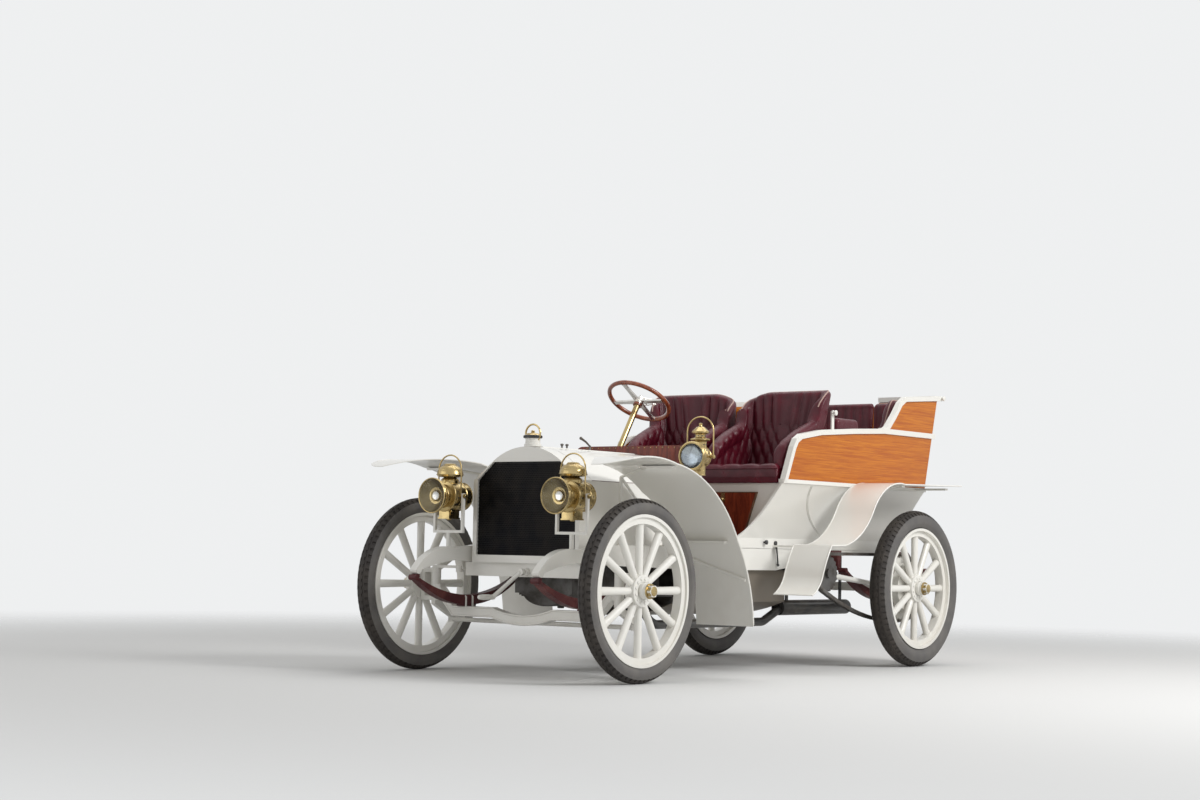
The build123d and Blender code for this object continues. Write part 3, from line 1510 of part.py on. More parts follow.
def make_stay_irons():
    """White irons: headlamp posts and forks, the side lamp's bracket, and the stays of the four mudguards."""
    lamp_y = headlamp_front_y + 140
    foot_y, foot_z = front_guard_arcs[2][0]
    rise_z = arc_height(*front_guard_arcs[1], front_stay_reach_y + 15 + guard_thickness) - guard_thickness - seat_gap
    stay_x = guard_outer_x - 60
    corner = (front_stay_x, front_stay_y, front_stay_top_z)
    rods = (
        make_rod((front_stay_x, front_stay_y, rail_top_z + seat_gap), corner, stay_radius + 2),
        make_rod(corner, (stay_x - 140, front_stay_reach_y, rise_z - 9), stay_radius),
        make_rod(corner, (front_stay_x + 4, foot_y - 20, foot_z - 24), stay_radius),
    )
    lamp_post = make_rod((side_lamp_x, side_lamp_y, side_bracket_z),
                         (side_lamp_x, side_lamp_y, side_lamp_z - side_lamp_font_depth - seat_gap), 12)
    with BuildPart() as irons:
        with BuildSketch(across(lamp_y)):
            with Locations((headlamp_x, headlamp_z + 14)):
                Rectangle(2 * fork_out, 2 * fork_out, align=(Align.CENTER, Align.MAX))
                Rectangle(2 * (fork_in + seat_gap), 2 * fork_out - 14, align=(Align.CENTER, Align.MAX),
                          mode=Mode.SUBTRACT)
        extrude(amount=8, both=True)
        with BuildSketch(level(headlamp_z - 190)):
            with Locations((headlamp_x, lamp_y)):
                Circle(12)
        iron_top = max(iron_height(lamp_y - 12), iron_height(lamp_y), iron_height(lamp_y + 12))
        extrude(amount=-(headlamp_z - 190 - iron_top - seat_gap))
        for rod in rods:
            add(rod)
        with BuildSketch(level(rise_z)):
            with Locations((stay_x - 170, front_stay_reach_y)):
                Rectangle(200, 30, align=(Align.MIN, Align.CENTER))
        extrude(amount=-12)
        with BuildSketch(level(foot_z - guard_thickness - 14)):
            with Locations((rail_outer_x - 30, foot_y - guard_thickness - seat_gap)):
                Rectangle(stay_x - rail_outer_x + 30, 30, align=(Align.MIN, Align.MAX))
        extrude(amount=12)
        with BuildSketch(level(rail_top_z + seat_gap)):
            with Locations((rail_outer_x - 30, foot_y - guard_thickness - seat_gap)):
                Rectangle(24, 30, align=(Align.MIN, Align.MAX))
        extrude(amount=24)
        with BuildSketch(level(rail_top_z + 8)):
            with Locations((body_foot_x + seat_gap, 1675)):
                Rectangle(guard_outer_x - 40 - body_foot_x, 34, align=(Align.MIN, Align.CENTER))
        extrude(amount=703 - guard_thickness - seat_gap - 1 - rail_top_z - 8)
        for y in rear_stay_rows:
            with BuildSketch(level(1048)):
                with Locations((belt_x + rail_overhang + seat_gap, y)):
                    Rectangle(guard_outer_x - 50 - belt_x, 30, align=(Align.MIN, Align.CENTER))
            extrude(amount=1060 - 1048)
        mirror(about=Plane.YZ)
        with BuildSketch(level(side_bracket_z)):
            with Locations((dash_half - 28, dash_front_y - seat_gap)):
                Rectangle(side_lamp_x + 12 - dash_half + 28, 12, align=(Align.MIN, Align.MAX))
            with Locations((side_lamp_x, side_lamp_y)):
                Rectangle(24, dash_front_y - seat_gap - side_lamp_y, align=(Align.CENTER, Align.MIN))
                Circle(12)
        extrude(amount=24)
        add(lamp_post)
    return irons.part


# Lamps
headlamp_profile = (
    # distance behind the front ring, radius
    (0, 90),
    (14, 90),
    (26, 78),
    (62, 61),
    (96, 62),
    (190, 66),
    (198, 72),
    (240, 72),
    (262, 44),
)
headlamp_chimney = (
    # radius, height above the lamp's axis: chimney, its neck and the wide dome cap
    (46, 40),
    (46, 84),
    (32, 98),
    (32, 122),
    (63, 130),
    (63, 138),
    (52, 152),
    (28, 163),
    (0, 166),
)
side_lamp_profile = (
    # radius, distance behind the chimney: lens ring, drum and rounded back
    (0, -88),
    (66, -88),
    (66, -102),
    (76, -102),
    (76, -76),
    (60, -62),
    (54, 20),
    (38, 50),
    (0, 58),
)
side_lamp_chimney = (
    # radius, height above the lamp's axis: chimney, flange, neck and cap
    (34, 34),
    (34, 82),
    (52, 88),
    (52, 96),
    (28, 102),
    (28, 120),
    (45, 126),
    (45, 136),
    (22, 158),
    (0, 165),
)
side_lamp_font_depth = 100
bail_radius = 4


def make_bail(middle, half, rise):
    """Carrying bail of a lamp: two straight legs from the side pins and a round arch above them."""
    with BuildPart() as bail:
        with BuildLine(middle) as path:
            left = Line((-half, 0), (-half, rise - half))
            arch = ThreePointArc(left @ 1, (0, rise), (half, rise - half))
            Line(arch @ 1, (half, 0))
        with BuildSketch(Plane(origin=path.line @ 0, z_dir=path.line % 0)):
            Circle(bail_radius)
        sweep(path=path.line)
    return bail.part


def make_headlamp():
    """Left headlamp: projector barrel, chimney with its dome, burner box, side pins and carrying bail."""
    middle_y = headlamp_front_y + 140
    points = [(r, d) for d, r in headlamp_profile]
    middle = Plane(origin=(headlamp_x, front_axle_y + middle_y, headlamp_z), x_dir=(1, 0, 0), z_dir=(0, -1, 0))
    bail = make_bail(middle, 78, 214)
    with BuildPart() as lamp:
        with BuildSketch(Plane(origin=(headlamp_x, front_axle_y + headlamp_front_y, headlamp_z),
                               x_dir=(1, 0, 0), z_dir=(0, 0, 1))):
            with BuildLine():
                Polyline((0, 40), (60, 30), *points, (0, headlamp_profile[-1][0]), close=True)
            make_face()
        revolve(axis=long_axis(headlamp_x, headlamp_z))
        with BuildSketch(middle):
            with BuildLine():
                Polyline((0, headlamp_chimney[0][1]), *headlamp_chimney, close=True)
            make_face()
        revolve(axis=Axis(middle.origin, (0, 0, 1)))
        with BuildSketch(level(headlamp_z - 112)):
            with Locations((headlamp_x, middle_y)):
                Rectangle(70, 80)
        extrude(amount=70)
        with BuildSketch(along(headlamp_x)):
            with Locations((middle_y, headlamp_z)):
                Circle(8)
        extrude(amount=fork_in, both=True)
        add(bail)
    return lamp.part


def make_side_lamp():
    """The left side lamp, turned outwards: lens drum, chimney with flange and cap, oil font and bail."""
    turn = radians(side_lamp_turn)
    centre = Vector(side_lamp_x, front_axle_y + side_lamp_y, side_lamp_z)
    left = Vector(cos(turn), sin(turn), 0)
    back = Vector(-sin(turn), cos(turn), 0)
    flat = Plane(origin=centre, x_dir=left, z_dir=(0, 0, 1))
    upright = Plane(origin=centre, x_dir=left, z_dir=-back)
    bail = make_bail(upright, 78, 213)
    with BuildPart() as lamp:
        with BuildSketch(flat):
            with BuildLine():
                Polyline(*side_lamp_profile, close=True)
            make_face()
        revolve(axis=Axis(centre, back))
        with BuildSketch(upright):
            with BuildLine():
                Polyline((0, side_lamp_chimney[0][1]), *side_lamp_chimney, close=True)
            make_face()
        revolve(axis=Axis(centre, (0, 0, 1)))
        with BuildSketch(level(side_lamp_z - side_lamp_font_depth)):
            with Locations((side_lamp_x, side_lamp_y)):
                Circle(30)
        extrude(amount=side_lamp_font_depth - 30)
        with BuildSketch(Plane(origin=centre, x_dir=back, z_dir=left)):
            Circle(7)
        extrude(amount=80, both=True)
        add(bail)
    return lamp.part


def join(first, second):
    """One node made of two builds."""
    with BuildPart() as both:
        add(first)
        add(second)
    return both.part


def save_both(left_part, name):
    """Writes a left piece and its mirror image as one node of two bodies."""
    with BuildPart() as pair:
        add(left_part)
        mirror(about=Plane.YZ)
    save(pair.part, name)


def main():
    front_wheel = make_wheel(0, front_tyre_radius, front_tyre_section)
    rear_wheel = make_wheel(wheelbase, rear_tyre_radius, rear_tyre_section)
    save_pair(make_tyre(0, front_tyre_radius, front_tyre_section), "front_tyre")
    save_pair(make_tyre(wheelbase, rear_tyre_radius, rear_tyre_section), "rear_tyre")
    save_pair(front_wheel, "front_wheel")
    save_pair(join(rear_wheel, make_rear_drive()), "rear_wheel")
    save(make_frame(), "frame")
    save(make_front_axle(), "front_axle")
    save(join(make_front_springs(), make_rear_springs()), "road_springs")
    save(join(make_rear_axle(), make_radius_rods()), "rear_axle")
    save(make_chains(), "drive_chains")
    save(make_gearbox(), "gearbox")
    save(make_engine(), "engine_block")
    save(make_undershield(), "undershield")
    save(make_exhaust(), "exhaust")
    save(make_crank(), "starting_handle")
    save(make_radiator_shell(), "radiator_shell")
    save(make_radiator_core(), "radiator_core")
    save(make_radiator_cap(), "radiator_cap")
    save(make_bonnet_sides(), "bonnet_sides")
    save_pair(make_bonnet_lid(), "bonnet_lid")
    save(make_dash(), "dashboard")
    save(make_column(), "steering_column")
    save(make_steering_wheel(), "steering_wheel")
    save(make_knuckle(False), "knuckle_left")
    save(mirror(make_knuckle(True), about=Plane.YZ), "knuckle_right")
    save(make_tie_rod(), "tie_rod")
    save(make_drag_link(), "drag_link")
    save(make_drop_arm(), "drop_arm")
    save(make_side_levers(), "side_levers")
    save(make_floor(), "floor_boards")
    save(make_lower_body(), "lower_body")
    save(make_tonneau_sides(), "tonneau_sides")
    save(make_body_rails(), "body_rails")
    save(make_rear_door(), "rear_door")
    save(make_door_hinges(), "door_hinges")
    save(make_front_seats(), "front_seats")
    save(make_rear_seats(), "rear_seats")
    save(make_front_guards(), "front_mudguards")
    save(make_rear_guards(), "rear_mudguards")
    save(make_stay_irons(), "stay_irons")
    save_both(make_headlamp(), "headlamps")
    save(make_side_lamp(), "side_lamps")


main()
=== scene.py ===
"""Finishes, trim and soft parts of the brass era touring car, in metres."""
import logging
import math
from dataclasses import dataclass, field
from enum import Enum
from typing import Callable, Iterable, Sequence

import bmesh
import bpy
from mathutils import Matrix, Vector


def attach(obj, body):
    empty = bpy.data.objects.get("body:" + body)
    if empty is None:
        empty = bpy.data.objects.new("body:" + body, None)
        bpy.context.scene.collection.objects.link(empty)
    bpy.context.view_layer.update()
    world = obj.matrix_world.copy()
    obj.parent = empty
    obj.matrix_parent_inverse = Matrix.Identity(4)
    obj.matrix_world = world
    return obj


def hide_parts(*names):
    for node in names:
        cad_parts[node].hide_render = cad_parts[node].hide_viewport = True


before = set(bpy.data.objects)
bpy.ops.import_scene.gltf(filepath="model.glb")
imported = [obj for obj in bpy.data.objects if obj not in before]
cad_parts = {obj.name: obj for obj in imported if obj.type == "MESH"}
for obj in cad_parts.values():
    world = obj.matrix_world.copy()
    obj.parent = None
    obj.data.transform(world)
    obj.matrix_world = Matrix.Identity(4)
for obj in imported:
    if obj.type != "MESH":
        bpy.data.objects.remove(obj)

log = logging.getLogger("touring_car")
MM = 0.001
AXLE_Y = -1.385
WHEELBASE = 2740.0
ACROSS = Vector((1, 0, 0))
BACK = Vector((0, 1, 0))
UP = Vector((0, 0, 1))
# Radius of a turned shape where it closes to a point
TIP = 0.0001
Point = tuple[float, float, float]


def at(x: float, y: float, z: float) -> Vector:
    """Point in metres from millimetres across, behind the front axle and up."""
    return Vector((x * MM, AXLE_Y + y * MM, z * MM))


def turns(count: int, shift: float = 0.0) -> list[float]:
    """Angles in radians that share out a full turn, moved on by a share of one step."""
    return [2 * math.pi * (k + shift) / count for k in range(count)]


def circle(centre: Vector, one: Vector, two: Vector, radius: float, count: int) -> list[Vector]:
    """Points round a centre, in the plane of two directions."""
    return [centre + (one * math.cos(a) + two * math.sin(a)) * radius for a in turns(count)]


def rear_face(z: float) -> float:
    """How far back the leaning rear wall's outer face stands at a height, in millimetres."""
    return 3098.0 + 0.10676 * (z - 1042.0)


def lean_share(y: float) -> float:
    """Share of a front seat's rearward lean at a place: none at 1500 mm, all from 1900 mm on."""
    return min(1.0, max(0.0, (y - 1500) / 400))


class Side(Enum):
    """The car's own left and right."""

    LEFT = 1
    RIGHT = -1


# Node helpers
class Graph:
    """A node tree with short calls to add and link its nodes."""

    def __init__(self, tree: bpy.types.NodeTree) -> None:
        """Keeps the tree that is written to."""
        self.tree = tree
        self.column = 0

    def add(self, kind: str, **inputs: object) -> bpy.types.Node:
        """Adds a node and sets its inputs or links them.

        Args:
            kind: Blender's type name of the node.
            inputs: Socket names in lower case with underscores, each a value or a socket.

        Returns:
            The new node.
        """
        node = self.tree.nodes.new(kind)
        self.column += 1
        node.location = (self.column % 12 * 190, -(self.column // 12) * 320)
        self.feed(node, **inputs)
        return node

    def feed(self, node: bpy.types.Node, **inputs: object) -> None:
        """Sets or links inputs, named in lower case with underscores or by their number."""
        for key, value in inputs.items():
            if key.startswith("in_"):
                socket = node.inputs[int(key[3:])]
            else:
                socket = next(s for s in node.inputs if s.name.lower().replace(" ", "_") == key and s.enabled)
            self.plug(socket, value)

    def plug(self, socket: bpy.types.NodeSocket, value: object) -> None:
        """Links one input to another socket, or sets its value."""
        if isinstance(value, bpy.types.NodeSocket):
            self.tree.links.new(value, socket)
        else:
            socket.default_value = value

    def math(self, operation: str, a: object, b: object = 0.0, clamp: bool = False) -> bpy.types.NodeSocket:
        """Adds a Math node and gives back its value."""
        node = self.add("ShaderNodeMath", in_0=a, in_1=b)
        node.operation = operation
        node.use_clamp = clamp
        return node.outputs[0]

    def scaled(self, mask: object, spread: float, middle: float) -> bpy.types.NodeSocket:
        """A mask times a spread, added to a middle value."""
        value = self.math("MULTIPLY_ADD", mask, spread)
        value.node.inputs[2].default_value = middle
        return value

    def ramp(self, value: object, low: float, high: float) -> bpy.types.NodeSocket:
        """Smooth step from low to high as a value from 0 to 1."""
        node = self.add("ShaderNodeMapRange", value=value, from_min=low, from_max=high)
        node.interpolation_type = "SMOOTHSTEP"
        return node.outputs[0]

    def blend(self, share: object, a: object, b: object) -> bpy.types.NodeSocket:
        """Mixes two colours."""
        node = self.tree.nodes.new("ShaderNodeMix")
        node.data_type = "RGBA"
        colours = [s for s in node.inputs if s.type == "RGBA"]
        for socket, value in ((node.inputs[0], share), (colours[0], a), (colours[1], b)):
            self.plug(socket, value)
        return next(s for s in node.outputs if s.type == "RGBA")

    def place(self) -> bpy.types.NodeSocket:
        """Place on the piece, in its own coordinates."""
        return self.add("ShaderNodeTexCoord").outputs["Object"]

    def noise(self, place: object, scale: object, detail: object, roughness: float = 0.5) -> bpy.types.Node:
        """Adds a noise texture."""
        return self.add("ShaderNodeTexNoise", vector=place, scale=scale, detail=detail, roughness=roughness)

    def bump(self, shader: bpy.types.Node, height: object, depth: float, strength: float) -> None:
        """Feeds a shader's normal with a bump of a depth in metres."""
        node = self.add("ShaderNodeBump", height=height, distance=depth, strength=strength)
        self.feed(shader, normal=node.outputs[0])

    def shared(self, tree: bpy.types.NodeTree, **inputs: object) -> bpy.types.bpy_prop_collection:
        """Adds a shared group with its inputs, and gives back its outputs."""
        node = self.add("ShaderNodeGroup")
        node.node_tree = tree
        self.feed(node, **inputs)
        return node.outputs


def emptied(owner: bpy.types.Material | bpy.types.World) -> Graph:
    """Clears a material's or a world's nodes and gives back its graph."""
    owner.use_nodes = True
    owner.node_tree.nodes.clear()
    return Graph(owner.node_tree)


FLOAT = "NodeSocketFloat"
COLOUR = "NodeSocketColor"
VECTOR = "NodeSocketVector"


class Effects:
    """Shader node groups that more than one finish uses."""

    def __init__(self) -> None:
        """Starts with no group made."""
        self.made: dict[str, bpy.types.NodeTree] = {}

    def group(self, name: str, inputs: Sequence[tuple[str, str, object]], outputs: Sequence[tuple[str, str]],
              body: Callable[[Graph, bpy.types.Node, bpy.types.Node], None]) -> bpy.types.NodeTree:
        """Makes a group once, with named sockets.

        Args:
            name: The group's name.
            inputs: Name, socket type and default of each input.
            outputs: Name and socket type of each output.
            body: Function that fills the group.

        Returns:
            The group's node tree.
        """
        if name not in self.made:
            tree = bpy.data.node_groups.new(name, "ShaderNodeTree")
            for label, kind, value in inputs:
                socket = tree.interface.new_socket(name=label, in_out="INPUT", socket_type=kind)
                if value is not None:
                    socket.default_value = value
            for label, kind in outputs:
                tree.interface.new_socket(name=label, in_out="OUTPUT", socket_type=kind)
            graph = Graph(tree)
            body(graph, graph.add("NodeGroupInput"), graph.add("NodeGroupOutput"))
            self.made[name] = tree
        return self.made[name]

    def weathering(self) -> bpy.types.NodeTree:
        """Patches, fine mottle and road dust low down, for painted, metal and rubber pieces."""

        def fill(g: Graph, source: bpy.types.Node, result: bpy.types.Node) -> None:
            """Fills the weathering group."""
            place = g.place()
            detail = source.outputs["Detail"]
            broad = g.noise(place, source.outputs["Patch Scale"], detail, 0.55)
            fine = g.noise(place, source.outputs["Mottle Scale"], detail, 0.6)
            height = g.add("ShaderNodeSeparateXYZ", vector=place).outputs[2]
            low = g.math("SUBTRACT", 1.0, g.ramp(height, 0.05, 0.85))
            patch = g.ramp(broad.outputs[0], 0.32, 0.72)
            speck = g.ramp(fine.outputs[0], 0.20, 0.80)
            dust = g.math("MULTIPLY", g.math("MULTIPLY", low, patch), speck, clamp=True)
            g.feed(result, patches=patch, mottle=fine.outputs[0], dust=dust)

        inputs = [("Patch Scale", FLOAT, 3.0), ("Mottle Scale", FLOAT, 40.0), ("Detail", FLOAT, 6.0)]
        outputs = [("Patches", FLOAT), ("Mottle", FLOAT), ("Dust", FLOAT)]
        return self.group("Weathering", inputs, outputs, fill)

    def grain(self) -> bpy.types.NodeTree:
        """Long wood grain with pores. It runs along Y, and along X on faces that look along Y."""

        def fill(g: Graph, source: bpy.types.Node, result: bpy.types.Node) -> None:
            """Fills the grain group."""
            spot = g.add("ShaderNodeTexCoord")
            facing = g.add("ShaderNodeSeparateXYZ", vector=spot.outputs["Normal"])
            axes = g.add("ShaderNodeSeparateXYZ", vector=spot.outputs["Object"]).outputs
            turned = g.add("ShaderNodeCombineXYZ", x=axes[1], y=axes[0], z=axes[2])
            end_on = g.math("GREATER_THAN", g.math("ABSOLUTE", facing.outputs[1]), 0.6)
            place = g.blend(end_on, spot.outputs["Object"], turned.outputs[0])
            run = g.add("ShaderNodeVectorMath", in_0=place, in_1=source.outputs["Stretch"])
            run.operation = "MULTIPLY"
            wander = g.noise(run.outputs[0], 1.6, 3.0)
            shifted = g.add("ShaderNodeVectorMath", in_0=run.outputs[0], in_1=wander.outputs["Color"])
            shifted.operation = "ADD"
            rings = g.noise(shifted.outputs[0], 4.0, 9.0, 0.68)
            pores = g.noise(run.outputs[0], 46.0, 4.0, 0.8)
            pore = g.ramp(pores.outputs[0], 0.55, 0.7)
            streak = g.ramp(rings.outputs[0], 0.34, 0.66)
            dark = source.outputs["Dark"]
            colour = g.blend(streak, dark, source.outputs["Light"])
            g.feed(result, colour=g.blend(g.math("MULTIPLY", pore, 0.35), colour, dark),
                   height=g.math("SUBTRACT", g.math("MULTIPLY", streak, 0.4), pore))

        inputs = [("Dark", COLOUR, None), ("Light", COLOUR, None), ("Stretch", VECTOR, None)]
        return self.group("Wood Grain", inputs, [("Colour", COLOUR), ("Height", FLOAT)], fill)

    def hide(self) -> bpy.types.NodeTree:
        """Fine leather grain, with the colour of worn places in broad patches."""

        def fill(g: Graph, source: bpy.types.Node, result: bpy.types.Node) -> None:
            """Fills the leather group."""
            place = g.place()
            base = source.outputs["Base"]
            cells = g.add("ShaderNodeTexVoronoi", vector=place, scale=source.outputs["Scale"])
            cells.feature = "DISTANCE_TO_EDGE"
            worn = g.ramp(g.noise(place, 9.0, 6.0, 0.65).outputs[0], 0.45, 0.75)
            crease = g.ramp(cells.outputs[0], 0.0, 0.12)
            colour = g.blend(worn, base, source.outputs["Worn"])
            colour = g.blend(g.math("MULTIPLY", g.math("SUBTRACT", 1.0, crease), 0.25), colour, base)
            g.feed(result, colour=colour, worn=worn, height=crease)

        inputs = [("Base", COLOUR, None), ("Worn", COLOUR, None), ("Scale", FLOAT, 260.0)]
        outputs = [("Colour", COLOUR), ("Worn", FLOAT), ("Height", FLOAT)]
        return self.group("Leather Grain", inputs, outputs, fill)


EFFECTS = Effects()
Colour = tuple[float, float, float, float]


def rgb(red: float, green: float, blue: float) -> Colour:
    """Colour with full opacity."""
    return (red, green, blue, 1.0)


@dataclass(frozen=True)
class Finish:
    """Base of every finish: a material made once, with its own shader."""

    name: str

    def material(self) -> bpy.types.Material:
        """The material, made on first use."""
        found = bpy.data.materials.get(self.name)
        if found is None:
            found = bpy.data.materials.new(self.name)
            graph = emptied(found)
            shader = graph.add("ShaderNodeBsdfPrincipled")
            graph.add("ShaderNodeOutputMaterial", surface=shader.outputs[0])
            self.fill(graph, shader)
        return found

    def fill(self, graph: Graph, shader: bpy.types.Node) -> None:
        """Feeds the shader. Each finish has its own."""
        raise NotImplementedError


@dataclass(frozen=True)
class Paint(Finish):
    """Brushed and flatted coach paint under varnish."""

    colour: Colour
    shade: Colour
    roughness: float = 0.28
    coat: float = 0.5
    dust: Colour = rgb(0.42, 0.36, 0.28)

    def fill(self, graph: Graph, shader: bpy.types.Node) -> None:
        """Slow colour drift, dust low down and a faint brush texture."""
        worn = graph.shared(EFFECTS.weathering(), patch_scale=2.2, mottle_scale=16.0, detail=1.0)
        colour = graph.blend(graph.math("MULTIPLY", worn["Patches"], 0.35), self.colour, self.shade)
        colour = graph.blend(graph.math("MULTIPLY", worn["Dust"], 0.16), colour, self.dust)
        graph.feed(shader, base_color=colour, roughness=graph.scaled(worn["Mottle"], 0.04, self.roughness),
                   coat_weight=self.coat, coat_roughness=0.12)
        graph.bump(shader, worn["Mottle"], 0.0003, 0.03)


@dataclass(frozen=True)
class Metal(Finish):
    """Polished or dull metal with tarnish."""

    colour: Colour
    tarnish: Colour
    roughness: float = 0.2
    spread: float = 0.5

    def fill(self, graph: Graph, shader: bpy.types.Node) -> None:
        """Tarnish in soft patches over bright metal."""
        worn = graph.shared(EFFECTS.weathering(), patch_scale=11.0, mottle_scale=120.0)
        share = graph.math("MULTIPLY", worn["Patches"], self.spread)
        graph.feed(shader, base_color=graph.blend(share, self.colour, self.tarnish), metallic=1.0,
                   roughness=graph.scaled(worn["Patches"], 0.18, self.roughness))
        graph.bump(shader, worn["Mottle"], 0.0003, 0.15)


@dataclass(frozen=True)
class Timber(Finish):
    """Varnished wood."""

    dark: Colour
    light: Colour
    stretch: Point = (14.0, 1.4, 14.0)
    roughness: float = 0.2
    coat: float = 0.9

    def fill(self, graph: Graph, shader: bpy.types.Node) -> None:
        """Grain under a clear varnish."""
        grain = graph.shared(EFFECTS.grain(), dark=self.dark, light=self.light, stretch=self.stretch)
        graph.feed(shader, base_color=grain["Colour"], roughness=self.roughness, specular_ior_level=0.2,
                   coat_weight=self.coat, coat_roughness=0.08)
        graph.bump(shader, grain["Height"], 0.0005, 0.2)


@dataclass(frozen=True)
class Hide(Finish):
    """Upholstery leather with grain and worn patches."""

    base: Colour
    worn: Colour
    scale: float = 300.0
    roughness: float = 0.34

    def fill(self, graph: Graph, shader: bpy.types.Node) -> None:
        """Grain in the bump, worn places lighter and smoother."""
        skin = graph.shared(EFFECTS.hide(), base=self.base, worn=self.worn, scale=self.scale)
        graph.feed(shader, base_color=skin["Colour"], specular_ior_level=0.3, coat_weight=0.06,
                   roughness=graph.scaled(skin["Worn"], -0.1, self.roughness))
        graph.bump(shader, skin["Height"], 0.0006, 0.35)


@dataclass(frozen=True)
class Rubber(Finish):
    """Tyre rubber with pale road dust."""

    colour: Colour
    dust: Colour

    def fill(self, graph: Graph, shader: bpy.types.Node) -> None:
        """Dusty patches over the rubber."""
        worn = graph.shared(EFFECTS.weathering(), patch_scale=7.0, mottle_scale=150.0)
        share = graph.math("MULTIPLY", worn["Patches"], 0.5)
        graph.feed(shader, base_color=graph.blend(share, self.colour, self.dust), roughness=0.72)
        graph.bump(shader, worn["Mottle"], 0.0008, 0.4)


@dataclass(frozen=True)
class Glass(Finish):
    """Clear lamp glass."""

    roughness: float = 0.02
    bend: float = 1.45

    def fill(self, graph: Graph, shader: bpy.types.Node) -> None:
        """Plain transmission with a faint ripple."""
        graph.feed(shader, base_color=rgb(0.98, 0.99, 1.0), transmission_weight=1.0, roughness=self.roughness,
                   ior=self.bend)
        graph.bump(shader, graph.noise(graph.place(), 14.0, 2.0).outputs[0], 0.001, 0.08)


CREAM = Paint("Ivory coach paint", rgb(0.80, 0.785, 0.735), rgb(0.77, 0.745, 0.68))
CREAM_WOOD = Paint("Ivory painted wood", rgb(0.80, 0.785, 0.735), rgb(0.76, 0.73, 0.66), 0.34, 0.35)
MAROON = Paint("Dark maroon paint", rgb(0.10, 0.012, 0.016), rgb(0.06, 0.01, 0.012), 0.4, 0.2)
GAITER = Hide("Maroon gaiter leather", rgb(0.07, 0.010, 0.012), rgb(0.15, 0.04, 0.035), 180.0, 0.45)
BRASS = Metal("Aged brass", rgb(0.55, 0.42, 0.20), rgb(0.23, 0.17, 0.08), 0.17, 0.7)
# Brass darkened for the inside of the headlamp barrels: painted shade of the deep barrel
SHADED_LAMP_INSIDE = Metal("Lamp inside painted shade", rgb(0.25, 0.20, 0.11), rgb(0.11, 0.085, 0.045), 0.26, 0.6)
MIRROR = Metal("Silvered dish", rgb(0.34, 0.39, 0.43), rgb(0.20, 0.22, 0.24), 0.06, 0.5)
NICKEL = Metal("Nickel plate", rgb(0.78, 0.76, 0.72), rgb(0.42, 0.38, 0.32), 0.16, 0.4)
STEEL = Metal("Oily dark steel", rgb(0.20, 0.19, 0.18), rgb(0.09, 0.07, 0.055), 0.36, 0.8)
IRON = Metal("Cast iron", rgb(0.16, 0.155, 0.15), rgb(0.08, 0.07, 0.06), 0.6, 0.8)
PAN = Paint("Pan sheet paint", rgb(0.17, 0.145, 0.115), rgb(0.10, 0.085, 0.065), 0.38, 0.2)
BLACK = Paint("Black enamel", rgb(0.012, 0.012, 0.013), rgb(0.03, 0.028, 0.026), 0.35, 0.4)
CORE = Metal("Blackened core brass", rgb(0.016, 0.016, 0.018), rgb(0.05, 0.045, 0.04), 0.42, 0.6)
AMBER = Timber("Amber varnished wood", rgb(0.40, 0.088, 0.003), rgb(0.60, 0.190, 0.008), (30.0, 0.7, 30.0),
               0.22, 0.16)
MAHOGANY = Timber("Mahogany", rgb(0.11, 0.016, 0.008), rgb(0.24, 0.042, 0.016), (9.0, 9.0, 1.6), 0.3, 0.3)
RIM_WOOD = Timber("Steering rim wood", rgb(0.16, 0.03, 0.012), rgb(0.38, 0.10, 0.035), (6.0, 6.0, 6.0))
FLOOR_WOOD = Timber("Worn floor boards", rgb(0.09, 0.045, 0.025), rgb(0.20, 0.11, 0.06), (12.0, 1.5, 12.0),
                    0.55, 0.1)
LEATHER = Hide("Burgundy leather", rgb(0.075, 0.0035, 0.011), rgb(0.135, 0.010, 0.022))
PIPING = Hide("Pale piping", rgb(0.45, 0.30, 0.26), rgb(0.60, 0.45, 0.38), 400.0, 0.5)
TYRE = Rubber("Tyre rubber", rgb(0.022, 0.018, 0.016), rgb(0.075, 0.062, 0.05))
SIDEWALL = Rubber("Tyre sidewall", rgb(0.105, 0.10, 0.097), rgb(0.19, 0.175, 0.155))
GLASS = Glass("Lamp glass")
PANE = Glass("Thin pane", 0.02, 1.12)

NODE_FINISH: dict[str, Finish] = {
    "frame": CREAM, "front_axle": CREAM, "road_springs": GAITER, "rear_axle": CREAM, "drive_chains": STEEL,
    "gearbox": IRON, "engine_block": IRON, "undershield": PAN, "exhaust": BLACK, "starting_handle": CREAM,
    "radiator_shell": CREAM, "radiator_core": CORE, "radiator_cap": BRASS, "bonnet_sides": CREAM,
    "bonnet_lid_left": CREAM, "bonnet_lid_right": CREAM, "dashboard": MAHOGANY, "steering_column": BRASS,
    "steering_wheel": RIM_WOOD, "knuckle_left": CREAM, "knuckle_right": CREAM, "tie_rod": CREAM,
    "drag_link": CREAM, "drop_arm": CREAM, "side_levers": BRASS, "floor_boards": FLOOR_WOOD,
    "lower_body": CREAM, "tonneau_sides": AMBER, "body_rails": CREAM_WOOD, "rear_door": AMBER,
    "front_seats": LEATHER, "rear_seats": LEATHER, "front_mudguards": CREAM, "rear_mudguards": CREAM,
    "stay_irons": CREAM, "headlamps": BRASS, "side_lamps": BRASS, "door_hinges": BRASS,
    **{f"{end}_wheel_{side}": CREAM_WOOD for end in ("front", "rear") for side in ("left", "right")},
    **{f"{end}_tyre_{side}": TYRE for end in ("front", "rear") for side in ("left", "right")},
}

# Width in metres of the rounding along sharp edges
EDGE = 0.0012
EDGES = {"body_rails": 0.006, "frame": 0.0035, "front_axle": 0.004, "stay_irons": 0.002}


